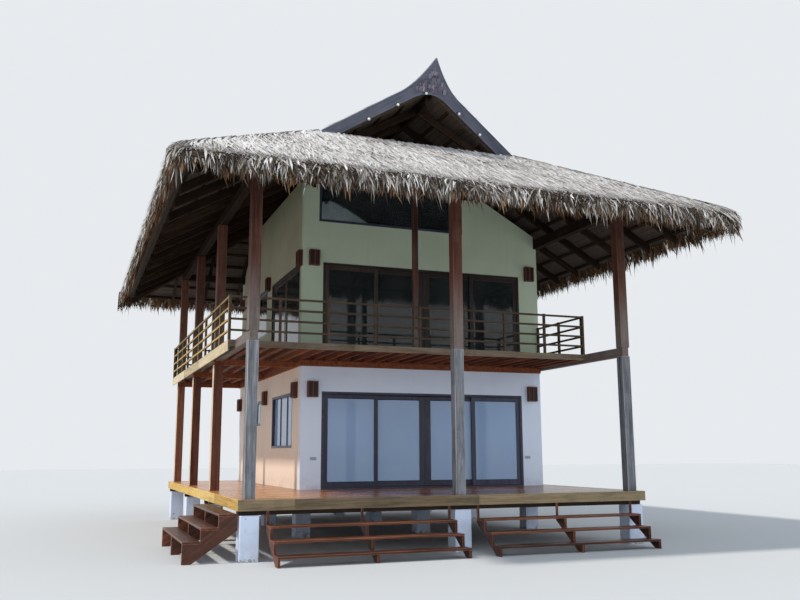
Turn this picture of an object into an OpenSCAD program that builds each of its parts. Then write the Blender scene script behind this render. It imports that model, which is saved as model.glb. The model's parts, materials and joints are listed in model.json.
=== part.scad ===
// Two-storey house on short piers, with an open deck, a wrap-around balcony and a thatched
// hip roof that carries a small raked gable at each end. Millimetres, +Z up. The origin lies
// on the ground under the centre of the deck; the front faces -Y.

/* [Deck] */
// Depth of the ground-floor deck
deck_d = 10950; // [10000:50:12000]
// Height of the deck boards above the ground
deck_top = 1050; // [900:10:1300]
// Depth of the open terrace in front of the rooms
terrace_d = 3600; // [3200:50:4200]
// Width of the open gallery left of the rooms
gallery_w = 2000; // [1600:50:2400]
// Width of the deck right of the rooms
right_margin = 300; // [150:10:500]
// Thickness of the deck and room floor boards
board_t = 35; // [25:1:50]
// Width of one joist
joist_w = 50; // [40:5:80]
// Depth of one deck joist
deck_joist_h = 155; // [120:5:200]
// Distance between deck joists
deck_joist_pitch = 600; // [400:50:900]
// Thickness of the edge boards
fascia_t = 30; // [20:1:50]
// Width of the deck bearers
bearer_w = 150; // [100:10:250]
// Depth of the deck bearers
bearer_h = 80; // [60:5:150]
// Width of one square pier
pier_w = 340; // [260:10:450]

/* [Rooms] */
// Width of the front wall left of the door fronts
front_wall_left_w = 480; // [300:10:900]
// Width of the front wall right of the door fronts
front_wall_right_w = 530; // [420:10:900]
// Thickness of the plastered walls
wall_t = 150; // [100:10:220]
// Height from the deck to the upper floor
storey_h = 2980; // [2800:10:3300]
// Depth of the upper floor, boards and joists together
upper_floor_t = 130; // [100:5:220]

/* [Doors and windows] */
// Width of both door fronts
door_w = 5090; // [4600:10:5800]
// Height of both door fronts
door_h = 2160; // [2000:10:2300]
// Thickness of the door and window frame members
frame_t = 60; // [45:5:90]
// Height of the door sill
sill_t = 40; // [25:5:80]
// Width of a leaf's stiles and top rail
stile_w = 95; // [70:5:130]
// Width of the stiles that meet in the middle
meeting_w = 140; // [100:5:180]
// Height of a leaf's bottom rail
bottom_rail_h = 120; // [90:5:200]
// Thickness of a door leaf
leaf_t = 40; // [32:1:50]
// Overlap of the sliding leaves behind the fixed ones
leaf_lap = 100; // [60:5:160]
// Running clearance round a sliding leaf
leaf_gap = 5; // [5:1:12]
// Thickness of the glass
glass_t = 8; // [4:1:12]
// Height of the clerestory sill above the upper floor
clerestory_sill_h = 3130; // [2900:10:3300]
// Height of the wall above the clerestory
clerestory_top_gap = 250; // [150:10:400]
// Half width of the clerestory window
clerestory_half_w = 1830; // [1500:10:1900]
// Width of the opening in the upper left wall
side_door_w = 2940; // [2400:20:3000]
// Distance from the inner front corner to that opening
side_door_inset = 125; // [60:5:250]
// Width of a window
window_w = 2130; // [1600:10:2400]
// Height of a window
window_h = 1270; // [900:10:1400]
// Height of the high window in the lower left wall
high_window_h = 660; // [500:10:900]
// Height of the window heads above each floor
window_head_h = 2180; // [2000:10:2250]
// Distance from the front corner to the first side window
window_front = 785; // [500:5:1200]
// Distance from the rear corner to the second side window
window_rear = 940; // [600:5:1200]
// Distance from the front corner to the upper left window
upper_window_front = 3780; // [3500:10:4600]

/* [Posts and balcony] */
// Width of a lower post
post_w = 200; // [150:10:260]
// Width of an upper post
upper_post_w = 200; // [150:10:260]
// Distance from the deck's edge to a post's centre
post_inset = 220; // [180:10:300]
// Distance of the second left post behind the front wall
second_post_d = 450; // [300:10:700]
// Shift of the middle front post from the centre line
middle_post_x = 80; // [0:10:200]
// Shift of the slender post from the centre line
slender_post_x = -120; // [-400:10:0]
// Width of the slender post under the front gable
slender_post_w = 110; // [80:10:150]
// Distance of the balcony's front edge behind the deck's front edge
balcony_setback = 1545; // [1200:5:1800]
// Thickness of the balcony boards
balcony_board_t = 30; // [20:1:45]
// Depth of the balcony joists
balcony_joist_h = 100; // [80:5:160]
// Distance between balcony joists
balcony_joist_pitch = 300; // [250:10:600]
// How far the fascia on the left reaches below the joists
left_fascia_drop = 80; // [0:5:110]
// Thickness of the ledger along the walls
ledger_w = 60; // [40:5:100]
// Depth of the ledger and the cross beams
ledger_h = 130; // [80:5:180]
// Width of the tie beams and roof plates
beam_w = 150; // [100:10:200]
// Depth of the tie beams
tie_h = 185; // [140:5:240]
// Height of the tie beams' top above the balcony boards
tie_rise = 5; // [0:1:20]
// Height of the railing
railing_h = 890; // [800:10:1100]
// Width of a rail
rail_w = 40; // [30:2:60]
// Number of rails
rail_count = 4; // [3:1:6]
// Distance between railing posts
railing_pitch = 1000; // [700:50:1500]

/* [Stairs] */
// Width of each front flight
front_flight_w = 3500; // [2400:50:3700]
// Distance from the deck's left corner to the left front flight
left_flight_inset = 500; // [300:10:600]
// Distance from the deck's right corner to the right front flight
right_flight_inset = 350; // [250:10:500]
// Distance from the deck's front corner to the side flight
side_flight_inset = 120; // [60:5:300]
// Length of the side flight along the deck
side_flight_w = 3200; // [1600:50:3600]
// Number of treads in a flight
tread_count = 3; // [2:1:4]
// Rise from tread to tread
rise = 220; // [160:5:225]
// Going of one tread
going = 300; // [240:5:340]
// Thickness of a tread
tread_t = 40; // [30:1:60]
// Thickness of a stringer
stringer_t = 50; // [40:1:80]
// Depth of a stringer where it meets the deck
stringer_root_h = 330; // [250:5:400]
// Length of a stringer's foot on the ground
stringer_foot = 150; // [100:5:200]
// Drop from the deck to the first front tread
front_first_drop = 430; // [400:5:440]
// Drop from the deck to the first side tread
side_first_drop = 235; // [235:5:250]

/* [Roof] */
// Overhang of the thatch beyond the deck on all sides
roof_over = 1600; // [1400:50:1900]
// Pitch of all four slopes in degrees
roof_pitch = 29.4; // [27:0.1:31]
// Thickness of the thatch, measured upright
thatch_t = 320; // [250:10:400]
// Thickness of the thatch at the eave's edge, measured upright
eave_edge_t = 200; // [120:10:230]
// Length over which the thatch thins to the eave's edge
eave_taper = 620; // [400:10:900]
// Reach of the rounding on top of the eave's edge
eave_nose = 110; // [50:5:115]
// Depth of the rafters, measured upright
rafter_h = 190; // [140:5:240]
// Width of a rafter
rafter_w = 60; // [45:5:90]
// Distance between rafters
rafter_pitch = 950; // [600:50:1300]
// Distance from the eave to the rafter tails
rafter_tail = 420; // [300:10:600]
// Thickness and width of the battens
batten_w = 50; // [40:5:80]
// Distance between battens
batten_pitch = 480; // [300:20:700]
// Half width of the small gable at each end
gable_half_w = 2350; // [2320:10:2500]
// Lean of the small gable out of the upright in degrees
gable_rake = 30; // [15:1:35]
// Height of a bargeboard, measured upright
barge_h = 250; // [180:10:320]
// Thickness of a bargeboard
barge_t = 60; // [40:5:90]
// Extra height of the swept-up peak
peak_rise = 330; // [200:10:450]
// Half width over which the peak sweeps up
peak_half_w = 700; // [500:10:900]
// Height of the roof plates' underside above the upper floor
plate_bottom_h = 2920; // [2820:10:3300]
// Depth of the roof plates at their outer edge
plate_h = 190; // [120:5:260]
// Depth of the beam under each gable
gable_beam_h = 120; // [90:5:180]
// Width of the beam under each gable
gable_beam_w = 100; // [80:5:150]

/* [Lamps] */
// Width of a wall lamp
lamp_w = 240; // [180:10:300]
// Height of a wall lamp
lamp_h = 360; // [280:10:450]
// Depth of a wall lamp
lamp_t = 110; // [80:5:160]
// Height of the lower lamps above the deck
lamp_rise = 2025; // [1800:5:2200]
// Height of the upper lamps above the upper floor
upper_lamp_rise = 2060; // [1900:5:2200]
// Distance from the front wall's corners to its lamps
lamp_corner_gap = 135; // [60:5:160]
// Distance from the front corner to the first lower lamp of the left wall
first_side_lamp = 305; // [200:5:480]
// Distance from the front corner to the first upper lamp of the left wall
first_upper_side_lamp = 25; // [10:5:35]
// Distance from the rear corner to the last lamps of the left wall
last_side_lamp_gap = 92; // [40:1:300]

/* [Hidden] */

// Plan of the house
room_w = front_wall_left_w + door_w + front_wall_right_w;
deck_x = (gallery_w + room_w + right_margin) / 2;
deck_y = deck_d / 2;
room_x0 = -deck_x + gallery_w;
room_x1 = room_x0 + room_w;
room_y0 = -deck_y + terrace_d;
room_y1 = deck_y;
joist_z = deck_top - board_t - deck_joist_h;
pier_top = joist_z - bearer_h;
fascia_h = board_t + deck_joist_h;

// Posts: left to right in front, then the left row from front to back
post_x = deck_x - post_inset;
front_post_y = -deck_y + post_inset;
rear_post_y = deck_y - post_inset;
second_post_y = room_y0 + second_post_d;
third_post_y = (second_post_y + rear_post_y) / 2;
front_post_xs = [-post_x, middle_post_x, post_x];
left_post_ys = [second_post_y, third_post_y, rear_post_y];
pier_rows = [second_post_y, third_post_y, rear_post_y];
room_pier_xs = [-post_x, room_x0 + pier_w / 2, (room_x0 + room_x1) / 2, room_x1 - pier_w / 2];

// Upper floor and balcony levels
upper_z = deck_top + storey_h;
balcony_y = -deck_y + balcony_setback;
balcony_board_z = upper_z - balcony_board_t;
balcony_joist_z = balcony_board_z - balcony_joist_h;
ledger_z = balcony_joist_z - ledger_h;
tie_top = upper_z + tie_rise;
tie_z = tie_top - tie_h;
railing_line = rail_w / 2 + 5;
railing_post_w = rail_w + 10;

// Small clearance between a piece and its seat
seat = 0.3;

// Roof: the rafters lie on the plates, and heights follow the distance from the eave line
half_w = deck_x + roof_over;
half_d = deck_y + roof_over;
slope = tan(roof_pitch);
batten_lift = rafter_h + seat;
roof_stack = batten_lift + batten_w + seat + thatch_t;
plate_z = upper_z + plate_bottom_h;
plate_top_z = plate_z + plate_h;
eave_top_z = plate_top_z + seat + roof_stack - slope * (roof_over + post_inset - beam_w / 2);
gable_run = half_w - gable_half_w;
gable_y = half_d - gable_run;
function top_z(d) = eave_top_z + slope * d;
function under_z(d) = top_z(d) - roof_stack;
gable_z = top_z(gable_run);
rake = tan(gable_rake);
ridge_half = rafter_w / 2;
hip_drop = rafter_w / 2 * slope;
hip_clear = rafter_w;

// Doors
door_x0 = room_x0 + front_wall_left_w;
door_x1 = door_x0 + door_w;
clear_w = door_w - 2 * frame_t;
leaf_w = (clear_w + 2 * leaf_lap) / 4;
leaf_h = door_h - frame_t - sill_t;
rail_h = 5;
rail_t = 8;
track_gap = 10;
outer_track = 25;
inner_track = outer_track + leaf_t + track_gap;

// Windows: each place holds the wall's left face, the near edge, the head's height and the window's height
lower_head_z = deck_top + window_head_h;
upper_head_z = upper_z + window_head_h;
first_window_y = room_y0 + window_front;
second_window_y = room_y1 - window_rear - window_w;
upper_window_y = room_y0 + upper_window_front;
left_windows = [[room_x0, first_window_y, lower_head_z, window_h],
    [room_x0, second_window_y, lower_head_z, high_window_h],
    [room_x0, upper_window_y, upper_head_z, window_h]];
right_windows = [for (y = [first_window_y, second_window_y], z = [lower_head_z, upper_head_z])
    [room_x1 - wall_t, y, z, window_h]];
rear_window_x = (room_x0 + room_x1) / 2 - window_w / 2;
side_door_y = room_y0 + wall_t + side_door_inset;

module box(x0, y0, z0, x1, y1, z1) {
    translate([x0, y0, z0]) cube([x1 - x0, y1 - y0, z1 - z0]);
}

// A profile drawn in X and Z, pushed from y0 to y1
module along_y(y0, y1, points) {
    translate([0, y1, 0]) rotate([90, 0, 0]) linear_extrude(y1 - y0) polygon(points);
}

// A profile drawn in Y and Z, pushed from x0 to x1
module along_x(x0, x1, points) {
    translate([x0, 0, 0]) rotate([90, 0, 90]) linear_extrude(x1 - x0) polygon(points);
}

// Ground floor

module concrete_piers() {
    color("white") {
        for (x = front_post_xs)
            box(x - pier_w / 2, front_post_y - pier_w / 2, 0, x + pier_w / 2, front_post_y + pier_w / 2, pier_top);
        for (x = room_pier_xs, y = pier_rows)
            box(x - pier_w / 2, y - pier_w / 2, 0, x + pier_w / 2, y + pier_w / 2, pier_top);
    }
}

module deck_bearers() {
    color("saddlebrown")
        for (y = concat([front_post_y], pier_rows))
            box(-deck_x + fascia_t, y - bearer_w / 2, pier_top, deck_x - fascia_t, y + bearer_w / 2, joist_z);
}

module deck_joists() {
    inner = deck_x - fascia_t - joist_w;
    count = round(2 * inner / deck_joist_pitch);
    color("sienna")
        for (i = [0:count])
            let (x = -inner + 2 * inner * i / count)
                box(x - joist_w / 2, -deck_y + fascia_t, joist_z, x + joist_w / 2, deck_y - fascia_t, deck_top - board_t);
}

module deck_boards() {
    color("peru") difference() {
        box(-deck_x + fascia_t, -deck_y + fascia_t, deck_top - board_t, deck_x - fascia_t, deck_y - fascia_t, deck_top);
        box(room_x0, room_y0, deck_top - 2 * board_t, room_x1, deck_y, deck_top + board_t);
    }
}

module deck_fascia() {
    color("goldenrod") difference() {
        box(-deck_x, -deck_y, joist_z, deck_x, deck_y, deck_top);
        box(-deck_x + fascia_t, -deck_y + fascia_t, 0, deck_x - fascia_t, deck_y - fascia_t, deck_top + 1);
    }
}

module room_floor() {
    color("peru") box(room_x0, room_y0, deck_top - board_t, room_x1, deck_y - fascia_t, deck_top);
}

// Stairs: a flight is drawn with s running out from the deck's edge

function stringer_outline(drop) = concat(
    [[-fascia_t, joist_z]],
    [for (i = [0:tread_count - 1], e = [0, 1])
        [i * going, i == 0 && e == 0 ? joist_z : deck_top - drop - (i - (e == 0 ? 1 : 0)) * rise - tread_t]],
    [[tread_count * going, deck_top - drop - (tread_count - 1) * rise - tread_t],
     [tread_count * going, 0], [tread_count * going - stringer_foot, 0], [-fascia_t, joist_z - stringer_root_h]]);

module flight_stringers(drop, width) {
    for (x = [0, (width - stringer_t) / 2, width - stringer_t])
        along_x(x, x + stringer_t, stringer_outline(drop));
}

module flight_treads(drop, width) {
    for (i = [0:tread_count - 1])
        box(0, i * going, deck_top - drop - i * rise - tread_t, width, (i + 1) * going, deck_top - drop - i * rise);
}

// Moves a flight, drawn along X with its going in +Y, to the front or the left edge
module at_front(x) {
    translate([x, -deck_y, 0]) mirror([0, 1, 0]) children();
}

module at_left(y) {
    translate([-deck_x, y, 0]) rotate([0, 0, 90]) children();
}

left_flight_x = -deck_x + left_flight_inset;
right_flight_x = deck_x - right_flight_inset - front_flight_w;
side_flight_y = -deck_y + side_flight_inset;

module stair_stringers() {
    color("sienna") {
        at_front(left_flight_x) flight_stringers(front_first_drop, front_flight_w);
        at_front(right_flight_x) flight_stringers(front_first_drop, front_flight_w);
        at_left(side_flight_y) flight_stringers(side_first_drop, side_flight_w);
    }
}

module stair_treads() {
    color("peru") {
        at_front(left_flight_x) flight_treads(front_first_drop, front_flight_w);
        at_front(right_flight_x) flight_treads(front_first_drop, front_flight_w);
        at_left(side_flight_y) flight_treads(side_first_drop, side_flight_w);
    }
}

// Walls

module lower_wall_door_left() {
    color("whitesmoke") box(room_x0, room_y0, deck_top, door_x0, room_y0 + wall_t, upper_z);
}

module lower_wall_door_right() {
    color("whitesmoke") box(door_x1, room_y0, deck_top, room_x1, room_y0 + wall_t, upper_z);
}

module lower_wall_door_head() {
    color("whitesmoke") box(door_x0, room_y0, deck_top + door_h, door_x1, room_y0 + wall_t, upper_z);
}

// Openings of side windows, cut through their wall
module window_holes(places) {
    for (w = places)
        box(w[0] - 1, w[1], w[2] - w[3], w[0] + wall_t + 1, w[1] + window_w, w[2]);
}

module lower_side_walls() {
    color("antiquewhite") for (x = [room_x0, room_x1 - wall_t])
        difference() {
            box(x, room_y0 + wall_t, deck_top, x + wall_t, room_y1 - wall_t, upper_z);
            window_holes(x == room_x0 ? left_windows : right_windows);
        }
}

module rear_window_hole(floor_z) {
    box(rear_window_x, room_y1 - wall_t - 1, floor_z + window_head_h - window_h,
        rear_window_x + window_w, room_y1 + 1, floor_z + window_head_h);
}

module lower_rear_wall() {
    color("antiquewhite") difference() {
        box(room_x0, room_y1 - wall_t, deck_top, room_x1, room_y1, upper_z);
        rear_window_hole(deck_top);
    }
}

module upper_floor() {
    color("peru")
        box(room_x0 + wall_t, room_y0 + wall_t, upper_z - upper_floor_t, room_x1 - wall_t, room_y1 - wall_t, upper_z);
}

// The front wall rises to the ridge
function gable_top(x) = under_z(half_w - max(abs(x), ridge_half));

// Height of the right wall, which carries a roof plate
right_wall_z = plate_z;

clerestory_sill_z = upper_z + clerestory_sill_h;
function clerestory_head_z(x, inset) = gable_top(x) - clerestory_top_gap - inset / cos(roof_pitch);
function clerestory_outline(inset) = let (w = clerestory_half_w - inset, head = clerestory_head_z(w, inset))
    [[-w, clerestory_sill_z + inset], [w, clerestory_sill_z + inset], [w, head],
     [0, clerestory_head_z(0, inset)], [-w, head]];

module upper_front_wall() {
    color("whitesmoke") difference() {
        along_y(room_y0, room_y0 + wall_t, [[room_x0, upper_z], [room_x1, upper_z],
            [room_x1, right_wall_z], [right_plate_x, right_wall_z], [right_plate_x, gable_top(right_plate_x)],
            [ridge_half, gable_top(ridge_half)], [-ridge_half, gable_top(ridge_half)],
            [room_x0, gable_top(room_x0)]]);
        box(door_x0, room_y0 - 1, upper_z - 1, door_x1, room_y0 + wall_t + 1, upper_z + door_h);
        along_y(room_y0 - 1, room_y0 + wall_t + 1, clerestory_outline(0));
    }
}

// The left wall is high under the main slope and falls with the rear slope
left_wall_z = under_z(half_w + room_x0);
left_wall_bend = half_d - (half_w + room_x0);

module upper_side_walls() {
    color("antiquewhite") {
        difference() {
            along_x(room_x0, room_x0 + wall_t, [[room_y0 + wall_t, upper_z], [room_y1 - wall_t, upper_z],
                [room_y1 - wall_t, under_z(half_d - room_y1 + wall_t)], [left_wall_bend, left_wall_z],
                [room_y0 + wall_t, left_wall_z]]);
            box(room_x0 - 1, side_door_y, upper_z - 1, room_x0 + wall_t + 1, side_door_y + side_door_w, upper_z + door_h);
            window_holes(left_windows);
            rear_gable_beam();
        }
        difference() {
            box(room_x1 - wall_t, room_y0 + wall_t, upper_z, room_x1, room_y1 - wall_t, right_wall_z);
            window_holes(right_windows);
        }
    }
}

module upper_rear_wall() {
    color("antiquewhite") difference() {
        box(room_x0, room_y1 - wall_t, upper_z, room_x1, room_y1, under_z(roof_over));
        rear_window_hole(upper_z);
    }
}

// Doors and windows

module door_frame_ring(floor_z) {
    difference() {
        box(door_x0, room_y0, floor_z, door_x1, room_y0 + wall_t, floor_z + door_h);
        box(door_x0 + frame_t, room_y0 - 1, floor_z + sill_t, door_x1 - frame_t, room_y0 + wall_t + 1, floor_z + door_h - frame_t);
    }
}

module lower_door_frame() {
    track_y = room_y0 + inner_track + leaf_t / 2;
    color("saddlebrown") {
        door_frame_ring(deck_top);
        box(door_x0 + frame_t, track_y - rail_t / 2, deck_top + sill_t, door_x1 - frame_t, track_y + rail_t / 2,
            deck_top + sill_t + rail_h);
    }
}

// One leaf from x0, w wide, standing at z0, h high, with its front face at y0
module leaf(x0, y0, z0, w, h, left_stile, right_stile) {
    difference() {
        box(x0, y0, z0, x0 + w, y0 + leaf_t, z0 + h);
        box(x0 + left_stile, y0 - 1, z0 + bottom_rail_h, x0 + w - right_stile, y0 + leaf_t + 1, z0 + h - stile_w);
    }
}

// The pane of that leaf, set in the middle of its thickness
module pane(x0, y0, z0, w, h, left_stile, right_stile) {
    y = y0 + (leaf_t - glass_t) / 2;
    box(x0 + left_stile, y, z0 + bottom_rail_h, x0 + w - right_stile, y + glass_t, z0 + h - stile_w);
}

inner_x0 = door_x0 + frame_t;
inner_x1 = door_x1 - frame_t;
fixed_y = room_y0 + outer_track;
sliding_y = room_y0 + inner_track;
sliding_z = deck_top + sill_t + rail_h + seat;
sliding_h = leaf_h - rail_h - seat - leaf_gap;
sliding_w = leaf_w - leaf_gap / 2;
sliding_left_x = inner_x0 + leaf_w - leaf_lap;
sliding_right_x = inner_x1 - leaf_w + leaf_lap - sliding_w;

module fixed_leaves() {
    color("saddlebrown") {
        leaf(inner_x0, fixed_y, deck_top + sill_t, leaf_w, leaf_h, stile_w, stile_w);
        leaf(inner_x1 - leaf_w, fixed_y, deck_top + sill_t, leaf_w, leaf_h, stile_w, stile_w);
    }
}

module sliding_leaf_left() {
    color("saddlebrown") leaf(sliding_left_x, sliding_y, sliding_z, sliding_w, sliding_h, stile_w, meeting_w);
}

module sliding_leaf_right() {
    color("saddlebrown") leaf(sliding_right_x, sliding_y, sliding_z, sliding_w, sliding_h, meeting_w, stile_w);
}

module sliding_glass_left() {
    color("lightblue") pane(sliding_left_x, sliding_y, sliding_z, sliding_w, sliding_h, stile_w, meeting_w);
}

module sliding_glass_right() {
    color("lightblue") pane(sliding_right_x, sliding_y, sliding_z, sliding_w, sliding_h, meeting_w, stile_w);
}

// The upper front has the same four leaves, all fixed, and the left wall has two
upper_leaf_z = upper_z + sill_t;
side_leaf_w = (side_door_w - 2 * frame_t) / 2;

module side_door(y0) {
    difference() {
        box(room_x0, y0, upper_z, room_x0 + wall_t, y0 + side_door_w, upper_z + door_h);
        box(room_x0 - 1, y0 + frame_t, upper_z + sill_t, room_x0 + wall_t + 1, y0 + side_door_w - frame_t, upper_z + door_h - frame_t);
    }
}

module upper_door_frames() {
    color("saddlebrown") {
        door_frame_ring(upper_z);
        side_door(side_door_y);
    }
}

// Turns a leaf or pane drawn along X so that it runs along +Y in the left wall
module in_left_wall() {
    translate([room_x0 + outer_track + leaf_t, side_door_y + frame_t, 0]) rotate([0, 0, 90]) children();
}

module upper_door_leaves() {
    color("saddlebrown") {
        for (i = [0, 3])
            leaf(inner_x0 + (i == 0 ? 0 : clear_w - leaf_w), fixed_y, upper_leaf_z, leaf_w, leaf_h, stile_w, stile_w);
        for (i = [0, 1])
            leaf(i == 0 ? sliding_left_x : sliding_right_x, sliding_y, upper_leaf_z, sliding_w, leaf_h,
                i == 0 ? stile_w : meeting_w, i == 0 ? meeting_w : stile_w);
        for (i = [0, 1])
            in_left_wall() leaf(i * (side_leaf_w + 2), 0, upper_leaf_z, side_leaf_w - 2, leaf_h, stile_w, stile_w);
    }
}

// Frame of a window in a side wall, and in the rear wall
module window_ring_x(w) {
    difference() {
        box(w[0], w[1], w[2] - w[3], w[0] + wall_t, w[1] + window_w, w[2]);
        box(w[0] - 1, w[1] + frame_t, w[2] - w[3] + frame_t, w[0] + wall_t + 1, w[1] + window_w - frame_t, w[2] - frame_t);
    }
}

module window_ring_y(x0, y0, head_z) {
    difference() {
        box(x0, y0, head_z - window_h, x0 + window_w, y0 + wall_t, head_z);
        box(x0 + frame_t, y0 - 1, head_z - window_h + frame_t, x0 + window_w - frame_t, y0 + wall_t + 1, head_z - frame_t);
    }
}

module window_frames() {
    color("saddlebrown") {
        for (w = concat(left_windows, right_windows)) window_ring_x(w);
        for (z = [lower_head_z, upper_head_z]) window_ring_y(rear_window_x, room_y1 - wall_t, z);
        difference() {
            along_y(room_y0, room_y0 + wall_t, clerestory_outline(0));
            along_y(room_y0 - 1, room_y0 + wall_t + 1, clerestory_outline(frame_t));
        }
    }
}

module window_glass() {
    mid = (wall_t - glass_t) / 2;
    color("lightblue") {
        for (x = [inner_x0, inner_x1 - leaf_w]) {
            pane(x, fixed_y, deck_top + sill_t, leaf_w, leaf_h, stile_w, stile_w);
            pane(x, fixed_y, upper_leaf_z, leaf_w, leaf_h, stile_w, stile_w);
        }
        for (i = [0, 1])
            pane(i == 0 ? sliding_left_x : sliding_right_x, sliding_y, upper_leaf_z, sliding_w, leaf_h,
                i == 0 ? stile_w : meeting_w, i == 0 ? meeting_w : stile_w);
        for (i = [0, 1])
            in_left_wall() pane(i * (side_leaf_w + 2), 0, upper_leaf_z, side_leaf_w - 2, leaf_h, stile_w, stile_w);
        for (w = concat(left_windows, right_windows))
            box(w[0] + mid, w[1] + frame_t, w[2] - w[3] + frame_t, w[0] + mid + glass_t,
                w[1] + window_w - frame_t, w[2] - frame_t);
        for (z = [lower_head_z, upper_head_z])
            box(rear_window_x + frame_t, room_y1 - wall_t + mid, z - window_h + frame_t,
                rear_window_x + window_w - frame_t, room_y1 - wall_t + mid + glass_t, z - frame_t);
        along_y(room_y0 + mid, room_y0 + mid + glass_t, clerestory_outline(frame_t));
    }
}

// Lamps beside the door fronts and along the left wall
front_lamp_xs = [room_x0 + lamp_corner_gap, room_x1 - lamp_corner_gap - lamp_w];
last_side_lamp = room_y1 - last_side_lamp_gap - lamp_w;
function lamp_between(y0, y1) = (y0 + y1 - lamp_w) / 2;
lamp_rows = [[deck_top + lamp_rise, [room_y0 + first_side_lamp,
        lamp_between(first_window_y + window_w, second_window_y), last_side_lamp]],
    [upper_z + upper_lamp_rise, [room_y0 + first_upper_side_lamp,
        lamp_between(side_door_y + side_door_w, upper_window_y), last_side_lamp]]];

module wall_lamps() {
    color("brown") for (row = lamp_rows) {
        for (x = front_lamp_xs)
            box(x, room_y0 - lamp_t, row[0], x + lamp_w, room_y0, row[0] + lamp_h);
        for (y = row[1])
            box(room_x0 - lamp_t, y, row[0], room_x0, y + lamp_w, row[0] + lamp_h);
    }
}

// Balcony

module balcony_beams() {
    color("saddlebrown") {
        box(room_x0 - ledger_w, room_y0 - ledger_w, ledger_z, room_x1, room_y0, balcony_joist_z);
        box(room_x0 - ledger_w, room_y0, ledger_z, room_x0, deck_y - fascia_t, balcony_joist_z);
        for (y = left_post_ys)
            box(-post_x - post_w / 2, y - gable_beam_w / 2, ledger_z, room_x0 - ledger_w, y + gable_beam_w / 2, balcony_joist_z);
    }
}

// Joists run from front to back
gallery_joist_xs = concat([-deck_x + fascia_t + joist_w / 2],
    [for (x = [room_x0 - joist_w / 2 : -balcony_joist_pitch : -post_x + post_w / 2 + joist_w]) x]);
terrace_joist_xs = [for (x = [room_x0 + balcony_joist_pitch - joist_w / 2 : balcony_joist_pitch : room_x1 - fascia_t - joist_w])
    x];

module balcony_joists() {
    color("firebrick") {
        for (x = gallery_joist_xs)
            box(x - joist_w / 2, balcony_y + fascia_t, balcony_joist_z, x + joist_w / 2, deck_y - fascia_t, balcony_board_z);
        for (x = concat(terrace_joist_xs, [room_x1 - fascia_t - joist_w / 2]))
            box(x - joist_w / 2, balcony_y + fascia_t, balcony_joist_z, x + joist_w / 2, room_y0, balcony_board_z);
    }
}

module balcony_boards() {
    color("peru") difference() {
        union() {
            box(-deck_x + fascia_t, balcony_y + fascia_t, balcony_board_z, room_x1 - fascia_t, room_y0, upper_z);
            box(-deck_x + fascia_t, room_y0 - 1, balcony_board_z, room_x0, deck_y - fascia_t, upper_z);
        }
        for (y = left_post_ys)
            box(-post_x - upper_post_w / 2, y - upper_post_w / 2, balcony_board_z - 1,
                -post_x + upper_post_w / 2, y + upper_post_w / 2, upper_z + 1);
    }
}

module balcony_fascia() {
    color("peru") difference() {
        union() {
            box(-deck_x, balcony_y, balcony_joist_z, room_x1, balcony_y + fascia_t, upper_z);
            box(-deck_x, balcony_y, balcony_joist_z - left_fascia_drop, -deck_x + fascia_t, deck_y, upper_z);
            box(room_x1 - fascia_t, balcony_y, balcony_joist_z, room_x1, room_y0, upper_z);
            box(-deck_x, deck_y - fascia_t, balcony_joist_z, room_x0, deck_y, upper_z);
        }
        box(-post_x - beam_w / 2, balcony_y - 1, balcony_joist_z - 1, -post_x + beam_w / 2, balcony_y + fascia_t + 1, balcony_board_z);
    }
}

// A tie beam reaches from a front post back under the balcony
module tie_beam(x, end_y) {
    along_x(x - beam_w / 2, x + beam_w / 2, [[front_post_y - post_w / 2, tie_z], [end_y, tie_z],
        [end_y, balcony_board_z], [balcony_y, balcony_board_z], [balcony_y, tie_top],
        [front_post_y - post_w / 2, tie_top]]);
}

right_tie_x = room_x1 + beam_w / 2;

module tie_beams() {
    color("gray") {
        tie_beam(-post_x, second_post_y - upper_post_w / 2);
        box(right_tie_x - beam_w / 2, front_post_y - post_w / 2, tie_z, right_tie_x + beam_w / 2, room_y0 + 300, tie_top);
    }
}

// A railing along X from x0 to x1, with its centre line at y0
module railing(x0, x1, y0) {
    bays = max(1, round((x1 - x0) / railing_pitch));
    for (i = [0:bays])
        let (x = x0 + (x1 - x0 - railing_post_w) * i / bays)
            box(x, y0 - railing_post_w / 2, upper_z, x + railing_post_w, y0 + railing_post_w / 2, upper_z + railing_h);
    for (i = [1:rail_count])
        let (z = upper_z + railing_h * i / rail_count - rail_w / 2 - 10)
            box(x0, y0 - rail_w / 2, z - rail_w / 2, x1, y0 + rail_w / 2, z + rail_w / 2);
}

module railing_along_y(y0, y1, x0) {
    translate([x0, y0, 0]) rotate([0, 0, 90]) railing(0, y1 - y0, 0);
}

front_rail_y = balcony_y + railing_line;
left_rail_x = -deck_x + railing_line;

module front_railing() {
    color("saddlebrown") railing(-deck_x, room_x1, front_rail_y);
}

module left_railing() {
    color("saddlebrown") railing_along_y(front_rail_y + railing_post_w / 2, deck_y, left_rail_x);
}

module end_railings() {
    color("saddlebrown") {
        railing_along_y(front_rail_y + railing_post_w / 2, room_y0, room_x1 - railing_line);
        railing(left_rail_x + railing_post_w / 2, room_x0, deck_y - railing_line);
    }
}

// Posts

module square_post(x, y, w, z0, z1) {
    box(x - w / 2, y - w / 2, z0, x + w / 2, y + w / 2, z1);
}

module lower_posts() {
    color("gray") {
        for (x = front_post_xs) square_post(x, front_post_y, post_w, deck_top, tie_z);
        for (y = left_post_ys) square_post(-post_x, y, post_w, deck_top, ledger_z);
    }
}

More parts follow.
